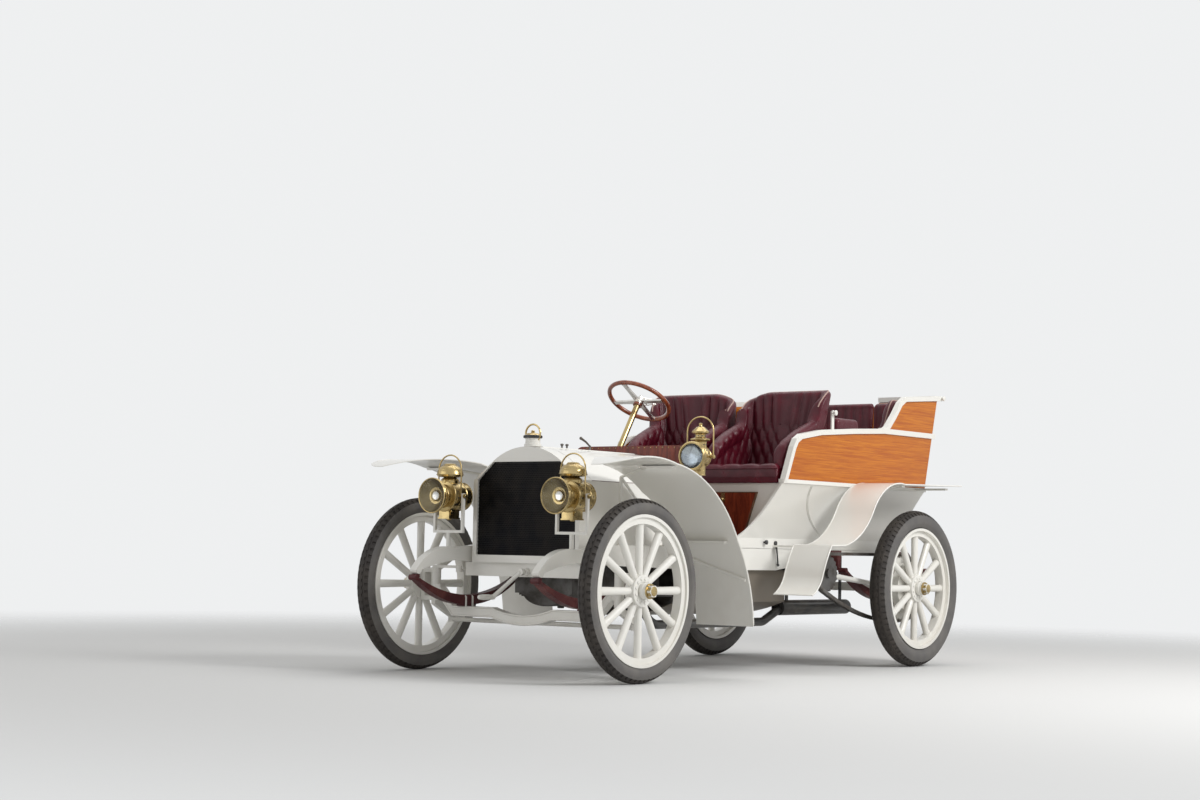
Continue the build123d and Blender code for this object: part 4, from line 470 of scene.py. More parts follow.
# Mesh helpers
class Mould:
    """Collects points and faces of one piece before it is made."""

    def __init__(self) -> None:
        """Starts empty."""
        self.vertices: list[Vector] = []
        self.faces: list[tuple[int, ...]] = []

    def ring(self, points: Iterable[Vector]) -> list[int]:
        """Adds points and gives back their numbers."""
        first = len(self.vertices)
        self.vertices.extend(points)
        return list(range(first, len(self.vertices)))

    def bridge(self, a: Sequence[int], b: Sequence[int], closed: bool = True) -> None:
        """Joins two rings of equal length with quads."""
        count = len(a)
        for i in range(count if closed else count - 1):
            j = (i + 1) % count
            self.faces.append((a[i], a[j], b[j], b[i]))

    def cap(self, ring: Sequence[int]) -> None:
        """Closes a ring with one face."""
        self.faces.append(tuple(ring))

    def skin(self, rings: list[list[int]], loop: bool = False, closed: bool = True) -> None:
        """Joins rings in order.

        Args:
            rings: Rings of equal length.
            loop: True to join the last ring to the first.
            closed: False for open rows instead of rings.
        """
        for first, second in zip(rings, rings[1:] + rings[:1] if loop else rings[1:]):
            self.bridge(first, second, closed)

    def loft(self, rings: list[list[int]]) -> None:
        """Joins rings in order and closes both ends."""
        self.skin(rings)
        self.cap(rings[0])
        self.cap(rings[-1])

    def lathe(self, profile: Sequence[tuple[float, float]], centre: Vector, axis: Vector,
              steps: int = 48) -> None:
        """Turns a profile of (distance along the axis, radius) round an axis.

        Args:
            profile: Points along the axis with their radius, in metres.
            centre: Point on the axis where the distance is zero.
            axis: Direction of the axis.
            steps: How many sides the turned shape has.
        """
        along = axis.normalized()
        side = along.orthogonal().normalized()
        other = along.cross(side)
        self.skin([self.ring(circle(centre + along * distance, side, other, radius, steps))
                   for distance, radius in profile])

    def tube(self, path: Sequence[Vector], radius: float | Sequence[float], sides: int = 10,
             closed: bool = False) -> None:
        """Round bar along a path.

        Args:
            path: Points in order.
            radius: One radius, or one for each point.
            sides: How many sides the bar has.
            closed: True for a loop.
        """
        count = len(path)
        radii = [radius] * count if isinstance(radius, (int, float)) else list(radius)
        normal = None
        rings = []
        for i, centre in enumerate(path):
            ahead = path[(i + 1) % count] if closed or i < count - 1 else centre
            behind = path[i - 1] if closed or i > 0 else centre
            direction = (ahead - behind).normalized()
            normal = direction.orthogonal() if normal is None else normal - direction * normal.dot(direction)
            normal.normalize()
            rings.append(self.ring(circle(centre, normal, direction.cross(normal), radii[i], sides)))
        if closed:
            self.skin(rings, loop=True)
        else:
            self.loft(rings)

    def wires(self, table: Sequence[Point], foot: Vector, axis: Vector, plane: tuple[Vector, Vector],
              count: int, sides: int) -> None:
        """Round wires about an axis.

        Args:
            table: Distance along the axis, radius and thickness of each wire in millimetres.
            foot: Point on the axis where the distance is zero.
            axis: Direction of the axis.
            plane: Two directions square to the axis.
            count: Points round each wire.
            sides: How many sides the wire's section has.
        """
        for distance, radius, bead in table:
            ring = circle(foot + axis * (distance * MM), *plane, radius * MM, count)
            self.tube(ring, bead * MM, sides, closed=True)

    def box(self, low: Vector, high: Vector) -> None:
        """Plain block between two corners."""
        plan = ((low.x, low.y), (high.x, low.y), (high.x, high.y), (low.x, high.y))
        self.loft([self.ring(Vector((x, y, z)) for x, y in plan) for z in (low.z, high.z)])

    def ball(self, centre: Vector, radius: float, squash: float = 1.0) -> None:
        """Small ball, for buttons, knobs and rivets."""
        self.lathe([(math.sin(a) * radius * squash, math.cos(a) * radius)
                    for a in map(math.radians, (-85, -45, 0, 45, 85))], centre, UP, 12)

    def bolt(self, centre: Vector, axis: Vector, across: float, height: float) -> None:
        """Hexagon head with a domed top."""
        r = across / math.sqrt(3)
        self.lathe([(0.0, r), (height * 0.75, r), (height, r * 0.8), (height * 1.02, TIP)], centre, axis, 6)

    def mirrored(self) -> None:
        """Adds the mirror image on the car's other side."""
        offset = len(self.vertices)
        self.vertices.extend([Vector((-v.x, v.y, v.z)) for v in self.vertices])
        self.faces.extend([tuple(reversed([n + offset for n in face])) for face in self.faces])

    def make(self, name: str, finish: Finish, body: str = "root", smooth: float = 40.0) -> bpy.types.Object:
        """Makes the piece, with its finish, riding on a body.

        Args:
            name: The piece's own name.
            finish: What it is finished in.
            body: The body that it moves with.
            smooth: Edges sharper than this many degrees stay sharp.

        Returns:
            The new object.
        """
        mesh = bpy.data.meshes.new(name)
        mesh.from_pydata([tuple(v) for v in self.vertices], [], self.faces)
        tidy = bmesh.new()
        tidy.from_mesh(mesh)
        bmesh.ops.remove_doubles(tidy, verts=tidy.verts, dist=1e-6)
        bmesh.ops.recalc_face_normals(tidy, faces=tidy.faces)
        tidy.to_mesh(mesh)
        tidy.free()
        mesh.shade_smooth()
        mesh.set_sharp_from_angle(angle=math.radians(smooth))
        mesh.materials.append(finish.material())
        thing = bpy.data.objects.new(name, mesh)
        bpy.context.scene.collection.objects.link(thing)
        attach(thing, body)
        return thing


def turned(name: str, finish: Finish, profile: Sequence[tuple[float, float]], centre: Vector, axis: Vector,
           steps: int, smooth: float) -> bpy.types.Object:
    """Makes a piece of one turned profile, riding on the car's own body."""
    mould = Mould()
    mould.lathe(profile, centre, axis, steps)
    return mould.make(name, finish, smooth=smooth)


def soften_node(name: str, width: float, angle: float = 34.0) -> None:
    """Rounds a solid's sharp edges with modifiers, and shades it smooth."""
    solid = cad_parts[name]
    weld = solid.modifiers.new("Weld", "WELD")
    weld.merge_threshold = 1e-5
    bevel = solid.modifiers.new("Edge", "BEVEL")
    bevel.width = width
    bevel.segments = 2
    bevel.limit_method = "ANGLE"
    bevel.angle_limit = math.radians(angle)
    bevel.use_clamp_overlap = True
    bevel.harden_normals = False
    normals = solid.modifiers.new("Shade", "WEIGHTED_NORMAL")
    normals.keep_sharp = True


# Sub-assemblies
@dataclass
class Studio:
    """Floor, lamps and the camera that matches the photo."""

    focal: float = 63.67
    azimuth: float = 37.7711
    elevation: float = -3.9769
    roll: float = 1.1538
    place: Point = (6.9787, AXLE_Y - 8.4068, 0.6639)
    sky: float = 0.42
    backdrop: Colour = rgb(0.86, 0.87, 0.875)
    floor_half: float = 14.0
    fade_start: float = 3.2
    fade_end: float = 9.5
    aim: Point = (0.0, 0.0, 0.7)

    def build(self) -> None:
        """Sets up everything that isn't the car."""
        scene = bpy.context.scene
        scene.view_settings.view_transform = "Standard"
        self.floor()
        self.lamps()
        self.camera()

    def floor(self) -> None:
        """Pale floor with a soft join to a pale world."""
        world = bpy.data.worlds.new("Pale studio")
        bpy.context.scene.world = world
        g = emptied(world)
        rays = g.add("ShaderNodeLightPath").outputs
        seen = g.math("MAXIMUM", rays["Is Camera Ray"],
                      g.math("MAXIMUM", rays["Is Glossy Ray"], rays["Is Transmission Ray"]))
        plain = g.add("ShaderNodeBackground", color=rgb(1.0, 1.0, 1.0), strength=self.sky)
        shown = g.add("ShaderNodeBackground", color=self.backdrop, strength=1.0)
        mixed = g.add("ShaderNodeMixShader", in_0=seen, in_1=plain.outputs[0], in_2=shown.outputs[0])
        g.add("ShaderNodeOutputWorld", surface=mixed.outputs[0])
        mesh = bpy.data.meshes.new("Studio floor")
        half = self.floor_half
        corners = [(-half, -half, 0), (half, -half, 0), (half, half, 0), (-half, half, 0)]
        mesh.from_pydata(corners, [], [(0, 1, 2, 3)])
        floor = bpy.data.objects.new("studio_floor", mesh)
        bpy.context.scene.collection.objects.link(floor)
        material = bpy.data.materials.new("Pale floor")
        m = emptied(material)
        shader = m.add("ShaderNodeBsdfPrincipled", base_color=rgb(0.72, 0.72, 0.71), roughness=0.9,
                       specular_ior_level=0.1)
        clear = m.add("ShaderNodeBsdfTransparent")
        distance = m.add("ShaderNodeVectorMath", in_0=m.place())
        distance.operation = "LENGTH"
        fade = m.ramp(distance.outputs["Value"], self.fade_start, self.fade_end)
        mix = m.add("ShaderNodeMixShader", in_0=fade, in_1=shader.outputs[0], in_2=clear.outputs[0])
        m.add("ShaderNodeOutputMaterial", surface=mix.outputs[0])
        mesh.materials.append(material)

    def lamps(self) -> None:
        """Large soft lamps: a key from the car's left, a fill from its front right and a top light."""
        for name, place, power, size in (
            ("Key lamp", (7.0, 0.5, 5.2), 430.0, 3.4),
            ("Fill lamp", (-3.5, -8.0, 3.2), 90.0, 6.0),
            ("Top lamp", (-0.5, 1.5, 6.5), 120.0, 5.0),
        ):
            data = bpy.data.lights.new(name, "AREA")
            data.energy = power
            data.size = size
            lamp = bpy.data.objects.new(name, data)
            lamp.location = place
            lamp.rotation_euler = (Vector(self.aim) - Vector(place)).to_track_quat("-Z", "Y").to_euler()
            bpy.context.scene.collection.objects.link(lamp)

    def camera(self) -> None:
        """Camera solved from the photo: place, direction, roll and focal length."""
        a, e, r = (math.radians(v) for v in (self.azimuth, self.elevation, self.roll))
        back = Vector((math.sin(a) * math.cos(e), -math.cos(a) * math.cos(e), math.sin(e)))
        right = Vector((math.cos(a), math.sin(a), 0.0))
        up = back.cross(right)
        side = right * math.cos(r) + up * math.sin(r)
        top = up * math.cos(r) - right * math.sin(r)
        data = bpy.data.cameras.new("Photo camera")
        data.lens = self.focal
        data.sensor_width = 36.0
        data.clip_end = 200.0
        camera = bpy.data.objects.new("Photo camera", data)
        turn = Matrix((side, top, back)).transposed().to_4x4()
        camera.matrix_world = Matrix.Translation(Vector(self.place)) @ turn
        bpy.context.scene.collection.objects.link(camera)
        bpy.context.scene.camera = camera


@dataclass
class RoadWheel:
    """Trim of one artillery wheel: brass cap, hub bolts and flange, full spokes and the whole tyre."""

    end: str
    side: Side
    axle_y: float
    tyre_radius: float
    tyre_section: float
    felloe: float
    track: float = 728.0
    hub_face: float = 753.0
    hub_out: float = 46.0
    spoke_count: int = 12
    spoke_foot: float = 72.0
    tread_pitch: float = 38.0
    wall_angle: float = 58.5

    @property
    def body(self) -> str:
        """Name of the wheel's body."""
        return f"{self.end}_wheel_{self.side.name.lower()}"

    @property
    def out(self) -> Vector:
        """Direction outward along the axle."""
        return Vector((self.side.value, 0, 0))

    def spot(self, x: float, radius: float, angle: float) -> Vector:
        """Point on the wheel at a distance across, a radius and an angle in degrees from the top."""
        a = math.radians(angle)
        y = self.axle_y + radius * math.sin(a)
        return at(self.side.value * x, y, self.tyre_radius + radius * math.cos(a))

    def build(self) -> list[bpy.types.Object]:
        """Makes the wheel's pieces."""
        return [self.cap(), self.bolts(), self.spokes(), self.tyre()]

    def spokes(self) -> bpy.types.Object:
        """Full oval spokes that meet as wedges at the hub and swell towards the felloe."""
        mould = Mould()
        tip = self.felloe + 5.0
        for i in range(self.spoke_count):
            turn = 360.0 / self.spoke_count * i
            rings = []
            for share in (0.0, 0.08, 0.2, 0.4, 0.7, 0.93, 1.0):
                radius = self.spoke_foot + (tip - self.spoke_foot) * share
                wide = 18.4 + 3.4 * share + (2.2 if share == 1.0 else 0.0)
                deep = 19.0 + 0.6 * share
                centre = self.spot(self.track, radius, turn)
                way = (self.spot(self.track, radius, turn + 1.0) - centre).normalized()
                rings.append(mould.ring(
                    centre + way * (wide * MM * math.cos(a)) + Vector((deep * MM * math.sin(a), 0, 0))
                    for a in turns(20)))
            mould.loft(rings)
        return mould.make(f"{self.body}_spokes", CREAM_WOOD, self.body, 40.0)

    def cap(self) -> bpy.types.Object:
        """Hexagon brass cap over the hub, with a domed end and a turned collar."""
        mould = Mould()
        foot = at(self.side.value * (self.hub_face + self.hub_out), self.axle_y, self.tyre_radius)
        mould.lathe([(-0.004, 0.0385), (0.0005, 0.0388), (0.004, 0.037), (0.004, 0.03)], foot, self.out, 48)
        mould.lathe([(0.001, 0.0338), (0.018, 0.0332), (0.0235, 0.0295)], foot, self.out, 6)
        mould.lathe([(0.0215, 0.0262), (0.026, 0.024), (0.0285, 0.017), (0.0295, TIP)], foot, self.out, 32)
        return mould.make(f"{self.body}_cap", BRASS, self.body, 30.0)

    def bolts(self) -> bpy.types.Object:
        """Bolts round the hub, with the hub's flange and its turned neck."""
        mould = Mould()
        for i in range(self.spoke_count):
            turn = 360.0 / self.spoke_count * (i + 0.5)
            mould.bolt(self.spot(self.hub_face - 0.5, 60.0, turn), self.out, 0.017, 0.009)
        face = at(self.side.value * self.hub_face, self.axle_y, self.tyre_radius)
        mould.lathe([(0.0, 0.080), (0.0035, 0.079), (0.0045, 0.076), (0.0045, 0.046), (0.0, 0.045)],
                    face, self.out)
        mould.lathe([(0.0, 0.0385), (0.018, 0.0425), (0.024, 0.0415), (0.028, 0.0382)], face, self.out, 40)
        return mould.make(f"{self.body}_bolts", CREAM, self.body, 30.0)

    def tyre(self) -> bpy.types.Object:
        """Whole tyre with ribbed tread and notched shoulders, dark on the tread and grey on its walls."""
        mould = Mould()
        section = self.tyre_section
        centre = self.tyre_radius - section
        pitches = round(2 * math.pi * self.tyre_radius / self.tread_pitch)
        # Angle round the section in degrees, then how deep the tyre is cut there in each of three profiles
        half = [(0.0, 0.0, 0.0, 0.0), (8.0, 0.0, 0.0, 0.0), (9.0, 0.0, 0.0, 4.5), (18.0, 0.0, 0.0, 4.5),
                (19.0, 2.5, 2.5, 2.5), (22.5, 2.5, 2.5, 2.5), (24.0, 0.0, 0.0, 0.0), (32.0, 0.0, 0.0, 0.0),
                (33.0, 0.0, 6.0, 0.0), (44.0, 0.0, 6.0, 0.0), (55.0, 0.0, 5.5, 0.0), (57.0, 0.0, 3.0, 0.0),
                (60.0, -0.8, -0.8, -0.8), (63.0, 0.4, 0.4, 0.4), (74.0, 0.0, 0.0, 0.0), (86.0, 0.0, 0.0, 0.0),
                (98.0, 0.0, 0.0, 0.0), (108.0, -0.7, -0.7, -0.7), (112.0, 0.3, 0.3, 0.3),
                (124.0, 0.0, 0.0, 0.0), (135.0, 0.0, 0.0, 0.0)]
        lines = [(-line[0], *line[1:]) for line in reversed(half[1:])] + half
        beads = ((0.49, section - 13), (0.49, section - 4), (-0.49, section - 4), (-0.49, section - 13))
        rings = []
        for index in range(pitches):
            for share, kind in ((0.0, 2), (0.26, 2), (0.32, 1), (0.52, 3), (0.80, 3), (0.88, 1)):
                turn = 360.0 / pitches * (index + share)
                points = []
                for line in lines:
                    radius = section - line[kind]
                    a = math.radians(line[0])
                    x = self.track + radius * math.sin(a)
                    points.append(self.spot(x, centre + radius * math.cos(a), turn))
                for x, low in beads:
                    points.append(self.spot(self.track + x * section, centre - low, turn))
                rings.append(mould.ring(points))
        mould.skin(rings, loop=True)
        made = mould.make(f"{self.body}_tyre", TYRE, self.body, 32.0)
        made.data.materials.append(SIDEWALL.material())
        hub = at(0.0, self.axle_y, self.tyre_radius)
        for face in made.data.polygons:
            spot = face.center
            height = math.hypot(spot.y - hub.y, spot.z - hub.z) / MM - centre
            across = abs(abs(spot.x) / MM - self.track)
            if math.degrees(math.atan2(across, height)) > self.wall_angle:
                face.material_index = 1
        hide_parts(f"{self.end}_tyre_{self.side.name.lower()}")
        return made


@dataclass
class Upholstery:
    """Pattern of the buttoned leather: its columns, its rows, its buttons and how full it is stuffed."""

    column: float = 62.0
    row: float = 70.0
    first_row: float = 1190.0
    tuft_rows: int = 4
    puff: float = 15.0
    button_radius: float = 6.5

    def pillow(self, s: float, z: float) -> float:
        """Height of the stuffing, from 0 in a crease to 1 on a crown.

        Args:
            s: Distance along the wall in millimetres.
            z: Height in millimetres.

        Returns:
            Share of the full puff.
        """
        u = s / self.column
        v = (z - self.first_row) / (2 * self.row)
        top = (self.tuft_rows - 1) / 2
        if v <= 0:
            share = abs(math.sin(math.pi * u))
        elif v >= top:
            share = abs(math.sin(math.pi * (u + top)))
        else:
            share = math.sqrt(abs(math.sin(math.pi * (u + v)) * math.sin(math.pi * (u - v))))
        return share ** 0.55

    def buttons(self, length: float) -> list[tuple[float, float]]:
        """Places of the buttons along a wall of this length, as distance and height."""
        places = []
        for k in range(self.tuft_rows):
            z = self.first_row + k * self.row
            n = 0
            while (n + (k % 2) / 2) * self.column < length:
                places.append(((n + (k % 2) / 2) * self.column, z))
                n += 1
        return places


# Number of the section's point that carries the piping, just past the top of the roll
PIPING_POINT = 36


@dataclass
class WrapWall:
    """A padded wall along a plan path: stuffed inside, plain outside, with a rolled top.

    The path is given by corner points; its corners are rounded. Heights and flare come from functions.
    """

    name: str
    corners: list[tuple[float, float]]
    radius: float
    foot: float
    top_at: Callable[[float, float], float]
    flare: Callable[[float], tuple[float, float]]
    thickness: float = 56.0
    style: Upholstery = field(default_factory=Upholstery)
    step: float = 7.0
    arm_roll: float = 28.0
    arm_end: float = 0.0

    def path(self) -> list[tuple[float, float, float, float]]:
        """Points every few millimetres along the rounded path, each with its direction."""
        points: list[Vector] = [Vector(self.corners[0])]
        for i in range(1, len(self.corners) - 1):
            here, before, after = (Vector(self.corners[k]) for k in (i, i - 1, i + 1))
            into, out = (here - before).normalized(), (after - here).normalized()
            start, end = here - into * self.radius, here + out * self.radius
            centre = start + (end - here)
            for k in range(9):
                a = math.pi / 2 * k / 8
                points.append(centre + (start - centre) * math.cos(a) + (end - centre) * math.sin(a))
        points.append(Vector(self.corners[-1]))
        result = []
        for first, second in zip(points, points[1:]):
            run = second - first
            count = max(1, round(run.length / self.step))
            for k in range(count):
                spot = first + run * (k / count)
                result.append((spot.x, spot.y, *run.normalized()))
        result.append((points[-1].x, points[-1].y, *(points[-1] - points[-2]).normalized()))
        return result

    def section(self, s: float, total: float, spot: tuple[float, float, float, float]) -> list[Vector]:
        """Cross-section of the wall at one place, from the inner foot over the roll to the outer foot."""
        x, y = spot[:2]
        half = self.thickness / 2
        end = min(s, total - s)
        shrink = 1.0 if end > half else math.sqrt(max(0.0, 1 - (1 - end / half) ** 2)) * 0.9 + 0.1
        fat = max(0.0, min(1.0, (self.arm_end - y) / 30)) * (self.arm_roll - half) if self.arm_end else 0.0
        roll = half + fat
        top = self.top_at(x, y) - roll
        top -= (1 - shrink) * roll
        points = []
        levels = 30
        for k in range(levels + 1):
            z = self.foot + (top - self.foot) * k / levels
            puff = self.style.puff * (self.style.pillow(s, z) - 0.75)
            swell = 2 * fat * max(0.0, 1 - (top - z) / (1.6 * roll)) ** 0.5 if fat else 0.0
            points.append(((half + swell + puff) * shrink, z))
        for k in range(1, 10):
            a = math.pi * k / 10
            puff = self.style.puff * (self.style.pillow(s, top) - 0.75) * max(0.0, 1 - k / 5.5)
            reach = (roll + puff) * shrink
            points.append((fat * shrink + reach * math.cos(a), top + reach * math.sin(a)))
        for k in range(7):
            z = top + (self.foot - top) * k / 6
            points.append((-half * shrink, z))
        return [Vector(self.flared(spot, offset, z)) for offset, z in points]

    def flared(self, spot: tuple[float, float, float, float], offset: float, z: float) -> Point:
        """Place inward from a spot on the path, leaned out as the walls are at a height."""
        x, y, dx, dy = spot
        fx, fy = self.flare(z)
        place = Vector((x, y)) + Vector((-dy, dx)) * offset
        return place.x + (fx if x > self.middle else 0.0), place.y + fy * lean_share(y), z

    @property
    def middle(self) -> float:
        """Middle of the path's corners, across the car."""
        xs = [corner[0] for corner in self.corners]
        return (min(xs) + max(xs)) / 2

    def build(self, side: Side, nodes: Sequence[str]) -> list[bpy.types.Object]:
        """Makes the wall, its buttons and its piping on one side of the car."""
        spots = self.path()
        total = self.step * (len(spots) - 1)
        label = side.name.lower()
        mould = Mould()
        rings = []
        edge: list[Vector] = []
        for i, spot in enumerate(spots):
            placed = [at(v.x * side.value, v.y, v.z) for v in self.section(i * self.step, total, spot)]
            edge.append(placed[PIPING_POINT])
            rings.append(mould.ring(placed))
        mould.cap(rings[0])
        mould.skin(rings, closed=False)
        mould.cap(rings[-1])
        wall = mould.make(f"{self.name}_{label}", LEATHER, smooth=75.0)
        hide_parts(*nodes)
        studs = Mould()
        radius = self.style.button_radius * MM
        depth = self.thickness / 2 - self.style.puff * 0.75 + 2
        button = [(-0.002, radius), (0.002, radius * 0.9), (0.004, radius * 0.5), (0.0045, TIP)]
        for s, z in self.style.buttons(total):
            index = round(s / self.step)
            if 4 < index < len(spots) - 4:
                x, y, dx, dy = spots[index]
                if z < self.top_at(x, y) - 50:
                    x, y, _ = self.flared(spots[index], depth, z)
                    studs.lathe(button, at(x * side.value, y, z), Vector((-dy * side.value, dx, 0)), 10)
        pieces = [wall, studs.make(f"{self.name}_buttons_{label}", LEATHER, smooth=50.0)]
        piping = Mould()
        piping.tube([v for v, spot in zip(edge, spots) if spot[1] > self.arm_end - 20], 0.0042, 8)
        pieces.append(piping.make(f"{self.name}_piping_{label}", PIPING, smooth=60.0))
        return pieces


@dataclass
class Cushion:
    """A crowned seat cushion with a rolled front edge, shallow tufts and piping."""

    name: str
    low: Point
    high: Point
    columns: int = 3
    rows: int = 2
    crown: float = 20.0
    roll: float = 26.0

    def build(self, side: Side, nodes: Sequence[str]) -> list[bpy.types.Object]:
        """Makes the cushion and its piping."""
        across, deep = 44, 40
        x0, y0, z0 = self.low
        x1, y1, z1 = self.high
        mould = Mould()
        rows = []
        for j in range(deep + 1):
            v = j / deep
            row = []
            for i in range(across + 1):
                u = i / across
                edge_x = min(u, 1 - u) * (x1 - x0)
                edge_y = min(v, 1 - v) * (y1 - y0)
                fall = 1.0
                for edge in (edge_x, edge_y):
                    if edge < self.roll:
                        fall *= math.sqrt(max(0.0, 1 - (1 - edge / self.roll) ** 2))
                tuft = abs(math.sin(math.pi * u * self.columns) * math.sin(math.pi * v * self.rows)) ** 0.4
                z = z1 - self.roll + self.roll * fall + self.crown * (tuft - 0.6) * fall * 0.5
                row.append(at((x0 + (x1 - x0) * u) * side.value, y0 + (y1 - y0) * v, z))
            rows.append(mould.ring(row))
        mould.skin(rows, closed=False)
        rim = rows[0] + [r[-1] for r in rows[1:]] + rows[-1][-2::-1] + [r[0] for r in rows[-2:0:-1]]
        foot = mould.ring(Vector((mould.vertices[n].x, mould.vertices[n].y, z0 * MM)) for n in rim)
        mould.bridge(rim, foot)
        mould.cap(foot)
        pad = mould.make(f"{self.name}_{side.name.lower()}", LEATHER, smooth=75.0)
        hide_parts(*nodes)
        seam = Mould()
        seam.tube([mould.vertices[n] + Vector((0, 0, -0.001)) for n in rim], 0.0038, 8, closed=True)
        return [pad, seam.make(f"{self.name}_seam_{side.name.lower()}", LEATHER, smooth=60.0)]


@dataclass
class Seats:
    """Front bucket seats, rear corner seats, elbow rolls and the door's pad, all in leather."""

    inner_x: float = 28.0
    outer_x: float = 538.0
    flare_x: float = 87.0
    flare_y: float = 40.0
    foot: float = 1043.0
    top: float = 1590.0

    def arm_top(self, x: float, y: float) -> float:
        """Top edge of a front seat's wall at a place in plan: arm, wing and back."""
        line = ((1512, 1186), (1530, 1208), (1560, 1242), (1600, 1281), (1650, 1318), (1700, 1345),
                (1760, 1371), (1820, 1396), (1860, 1413), (1868, 1440), (1880, 1506), (1905, 1543),
                (1930, 1568), (1960, 1587), (2010, 1590))
        y += self.flare_y * lean_share(y) * (0.55 if y < 1830 else 0.97)
        drop = 66.0 * max(0.0, 1 - (x - self.inner_x) / 180.0) ** 2 if y > 1880 else 0.0
        for (y0, z0), (y1, z1) in zip(line, line[1:]):
            if y <= y1:
                return z0 + (z1 - z0) * max(0.0, (y - y0) / (y1 - y0)) - drop
        return line[-1][1] - drop

    def flare(self, z: float) -> tuple[float, float]:
        """How far the walls lean out at a height, across and to the rear."""
        share = (z - self.foot) / (self.top - self.foot)
        return self.flare_x * share, self.flare_y * share

    def rear_top(self, x: float, y: float) -> float:
        """Top edge of a rear seat's wall at a place in plan. It is the same at every x."""
        if y > 2800:
            return 1588.0
        if y > 2640:
            share = (y - 2640) / 160
            return 1364.0 + 224.0 * (3 * share ** 2 - 2 * share ** 3)
        return 1350.0 + 14.0 * max(0.0, (y - 2580) / 60)

    def build(self) -> list[bpy.types.Object]:
        """Makes all four seats, the elbow rolls and the door's pad."""
        made: list[bpy.types.Object] = []
        inner, outer = self.inner_x + 28.0, self.outer_x - 28.0
        for side in Side:
            plan = [(outer, 1545), (outer, 1938), (inner, 1938), (inner, 1545)]
            wall = WrapWall("front_seat_back", plan, 46.0, self.foot + 30, self.arm_top, self.flare,
                            arm_roll=40.0, arm_end=1862.0)
            made += wall.build(side, ["front_seats"])
            cushion = Cushion("front_cushion", (self.inner_x + 4, 1508, self.foot + 1),
                              (self.outer_x + 8, 1890, 1148), 4, 3, 26.0, 24.0)
            made += cushion.build(side, ["front_seats"])
            plan = [(528, 2590), (528, 3034), (272, 3034)]
            rear = WrapWall("rear_seat_wall", plan, 70.0, 1074.0, self.rear_top, lambda z: (0.0, 0.0), 52.0,
                            Upholstery(64.0, 66.0, 1180.0, 1, 13.0))
            made += rear.build(side, ["rear_seats"])
            cushion = Cushion("rear_cushion", (162, 2582, 1062), (512, 3036, 1146), 3, 3)
            made += cushion.build(side, ["rear_seats"])
            box = Mould()
            low, high = sorted((side.value * 170, side.value * 379))
            box.box(at(low, 2602, 736), at(high, 3022, 1062))
            base = box.make(f"rear_seat_box_{side.name.lower()}", LEATHER, smooth=30.0)
            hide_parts("rear_seats")
            made += [base, self.elbow_roll(side)]
        made.append(self.door_pad())
        return made

    @staticmethod
    def elbow_roll(side: Side) -> bpy.types.Object:
        """Padded roll on the low part of the tonneau's side, just behind the front seat."""
        mould = Mould()
        rings = []
        x, low, high, half = 559.0, 1340.0, 1413.0, 25.0
        start, end = 2084.0, 2330.0
        for k in range(25):
            y = start + (end - start) * k / 24
            shrink = math.sqrt(max(0.02, 1 - (1 - min(1.0, min(y - start, end - y) / 24.0)) ** 2))
            wave = 1.0 + 0.05 * abs(math.sin(math.pi * (y - start) / 62.0)) ** 0.5
            radius = half * shrink * wave
            middle = high - (1 - shrink) * 20
            points = [(half * shrink, low)]
            points += [(radius * math.cos(math.pi * n / 12), middle + radius * math.sin(math.pi * n / 12))
                       for n in range(13)]
            points.append((-half * shrink, low))
            rings.append(mould.ring(at(side.value * (x + px), y, pz) for px, pz in points))
        mould.cap(rings[0])
        mould.skin(rings)
        mould.cap(rings[-1])
        roll = mould.make(f"elbow_roll_{side.name.lower()}", LEATHER, smooth=70.0)
        return roll

    @staticmethod
    def door_pad() -> bpy.types.Object:
        """Pleated pad on the inside of the rear door, rolled over the door's top edge."""
        style = Upholstery(64.0, 66.0, 1200.0, 2, 10.0)
        mould = Mould()
        rows: list[list[int]] = []
        half, low, high, columns, levels = 212.0, 1150.0, 1572.0, 64, 38
        for j in range(levels + 9):
            z = low + (high - low) * min(1.0, j / levels)
            turn = math.pi * max(0, j - levels) / 8
            face = rear_face(z) - 28.5
            row = []
            for i in range(columns + 1):
                x = -half + 2 * half * i / columns
                edge = min(half - abs(x), z - low + 3.0)
                fall = math.sqrt(max(0.0, 1 - (1 - min(1.0, edge / 16.0)) ** 2))
                depth = 3.0 + 17.0 * fall + style.puff * (style.pillow(x + half, z) - 0.6) * fall
                if turn:
                    reach = 10.0 + (depth - 6.0) * (1 + math.cos(turn)) / 2
                    row.append(at(x, face - reach * math.cos(turn), high + 26.0 * math.sin(turn) * fall))
                else:
                    row.append(at(x, face - depth, z))
            rows.append(mould.ring(row))
        for z in (1574.6, low):
            rows.append(mould.ring(at(-half + 2 * half * i / columns, rear_face(z) - 28.5, z)
                                   for i in range(columns + 1)))
        mould.skin(rows, loop=True, closed=False)
        mould.cap([row[0] for row in rows])
        mould.cap([row[-1] for row in rows])
        pad = mould.make("rear_door_pad", LEATHER, "rear_door", 75.0)
        return pad


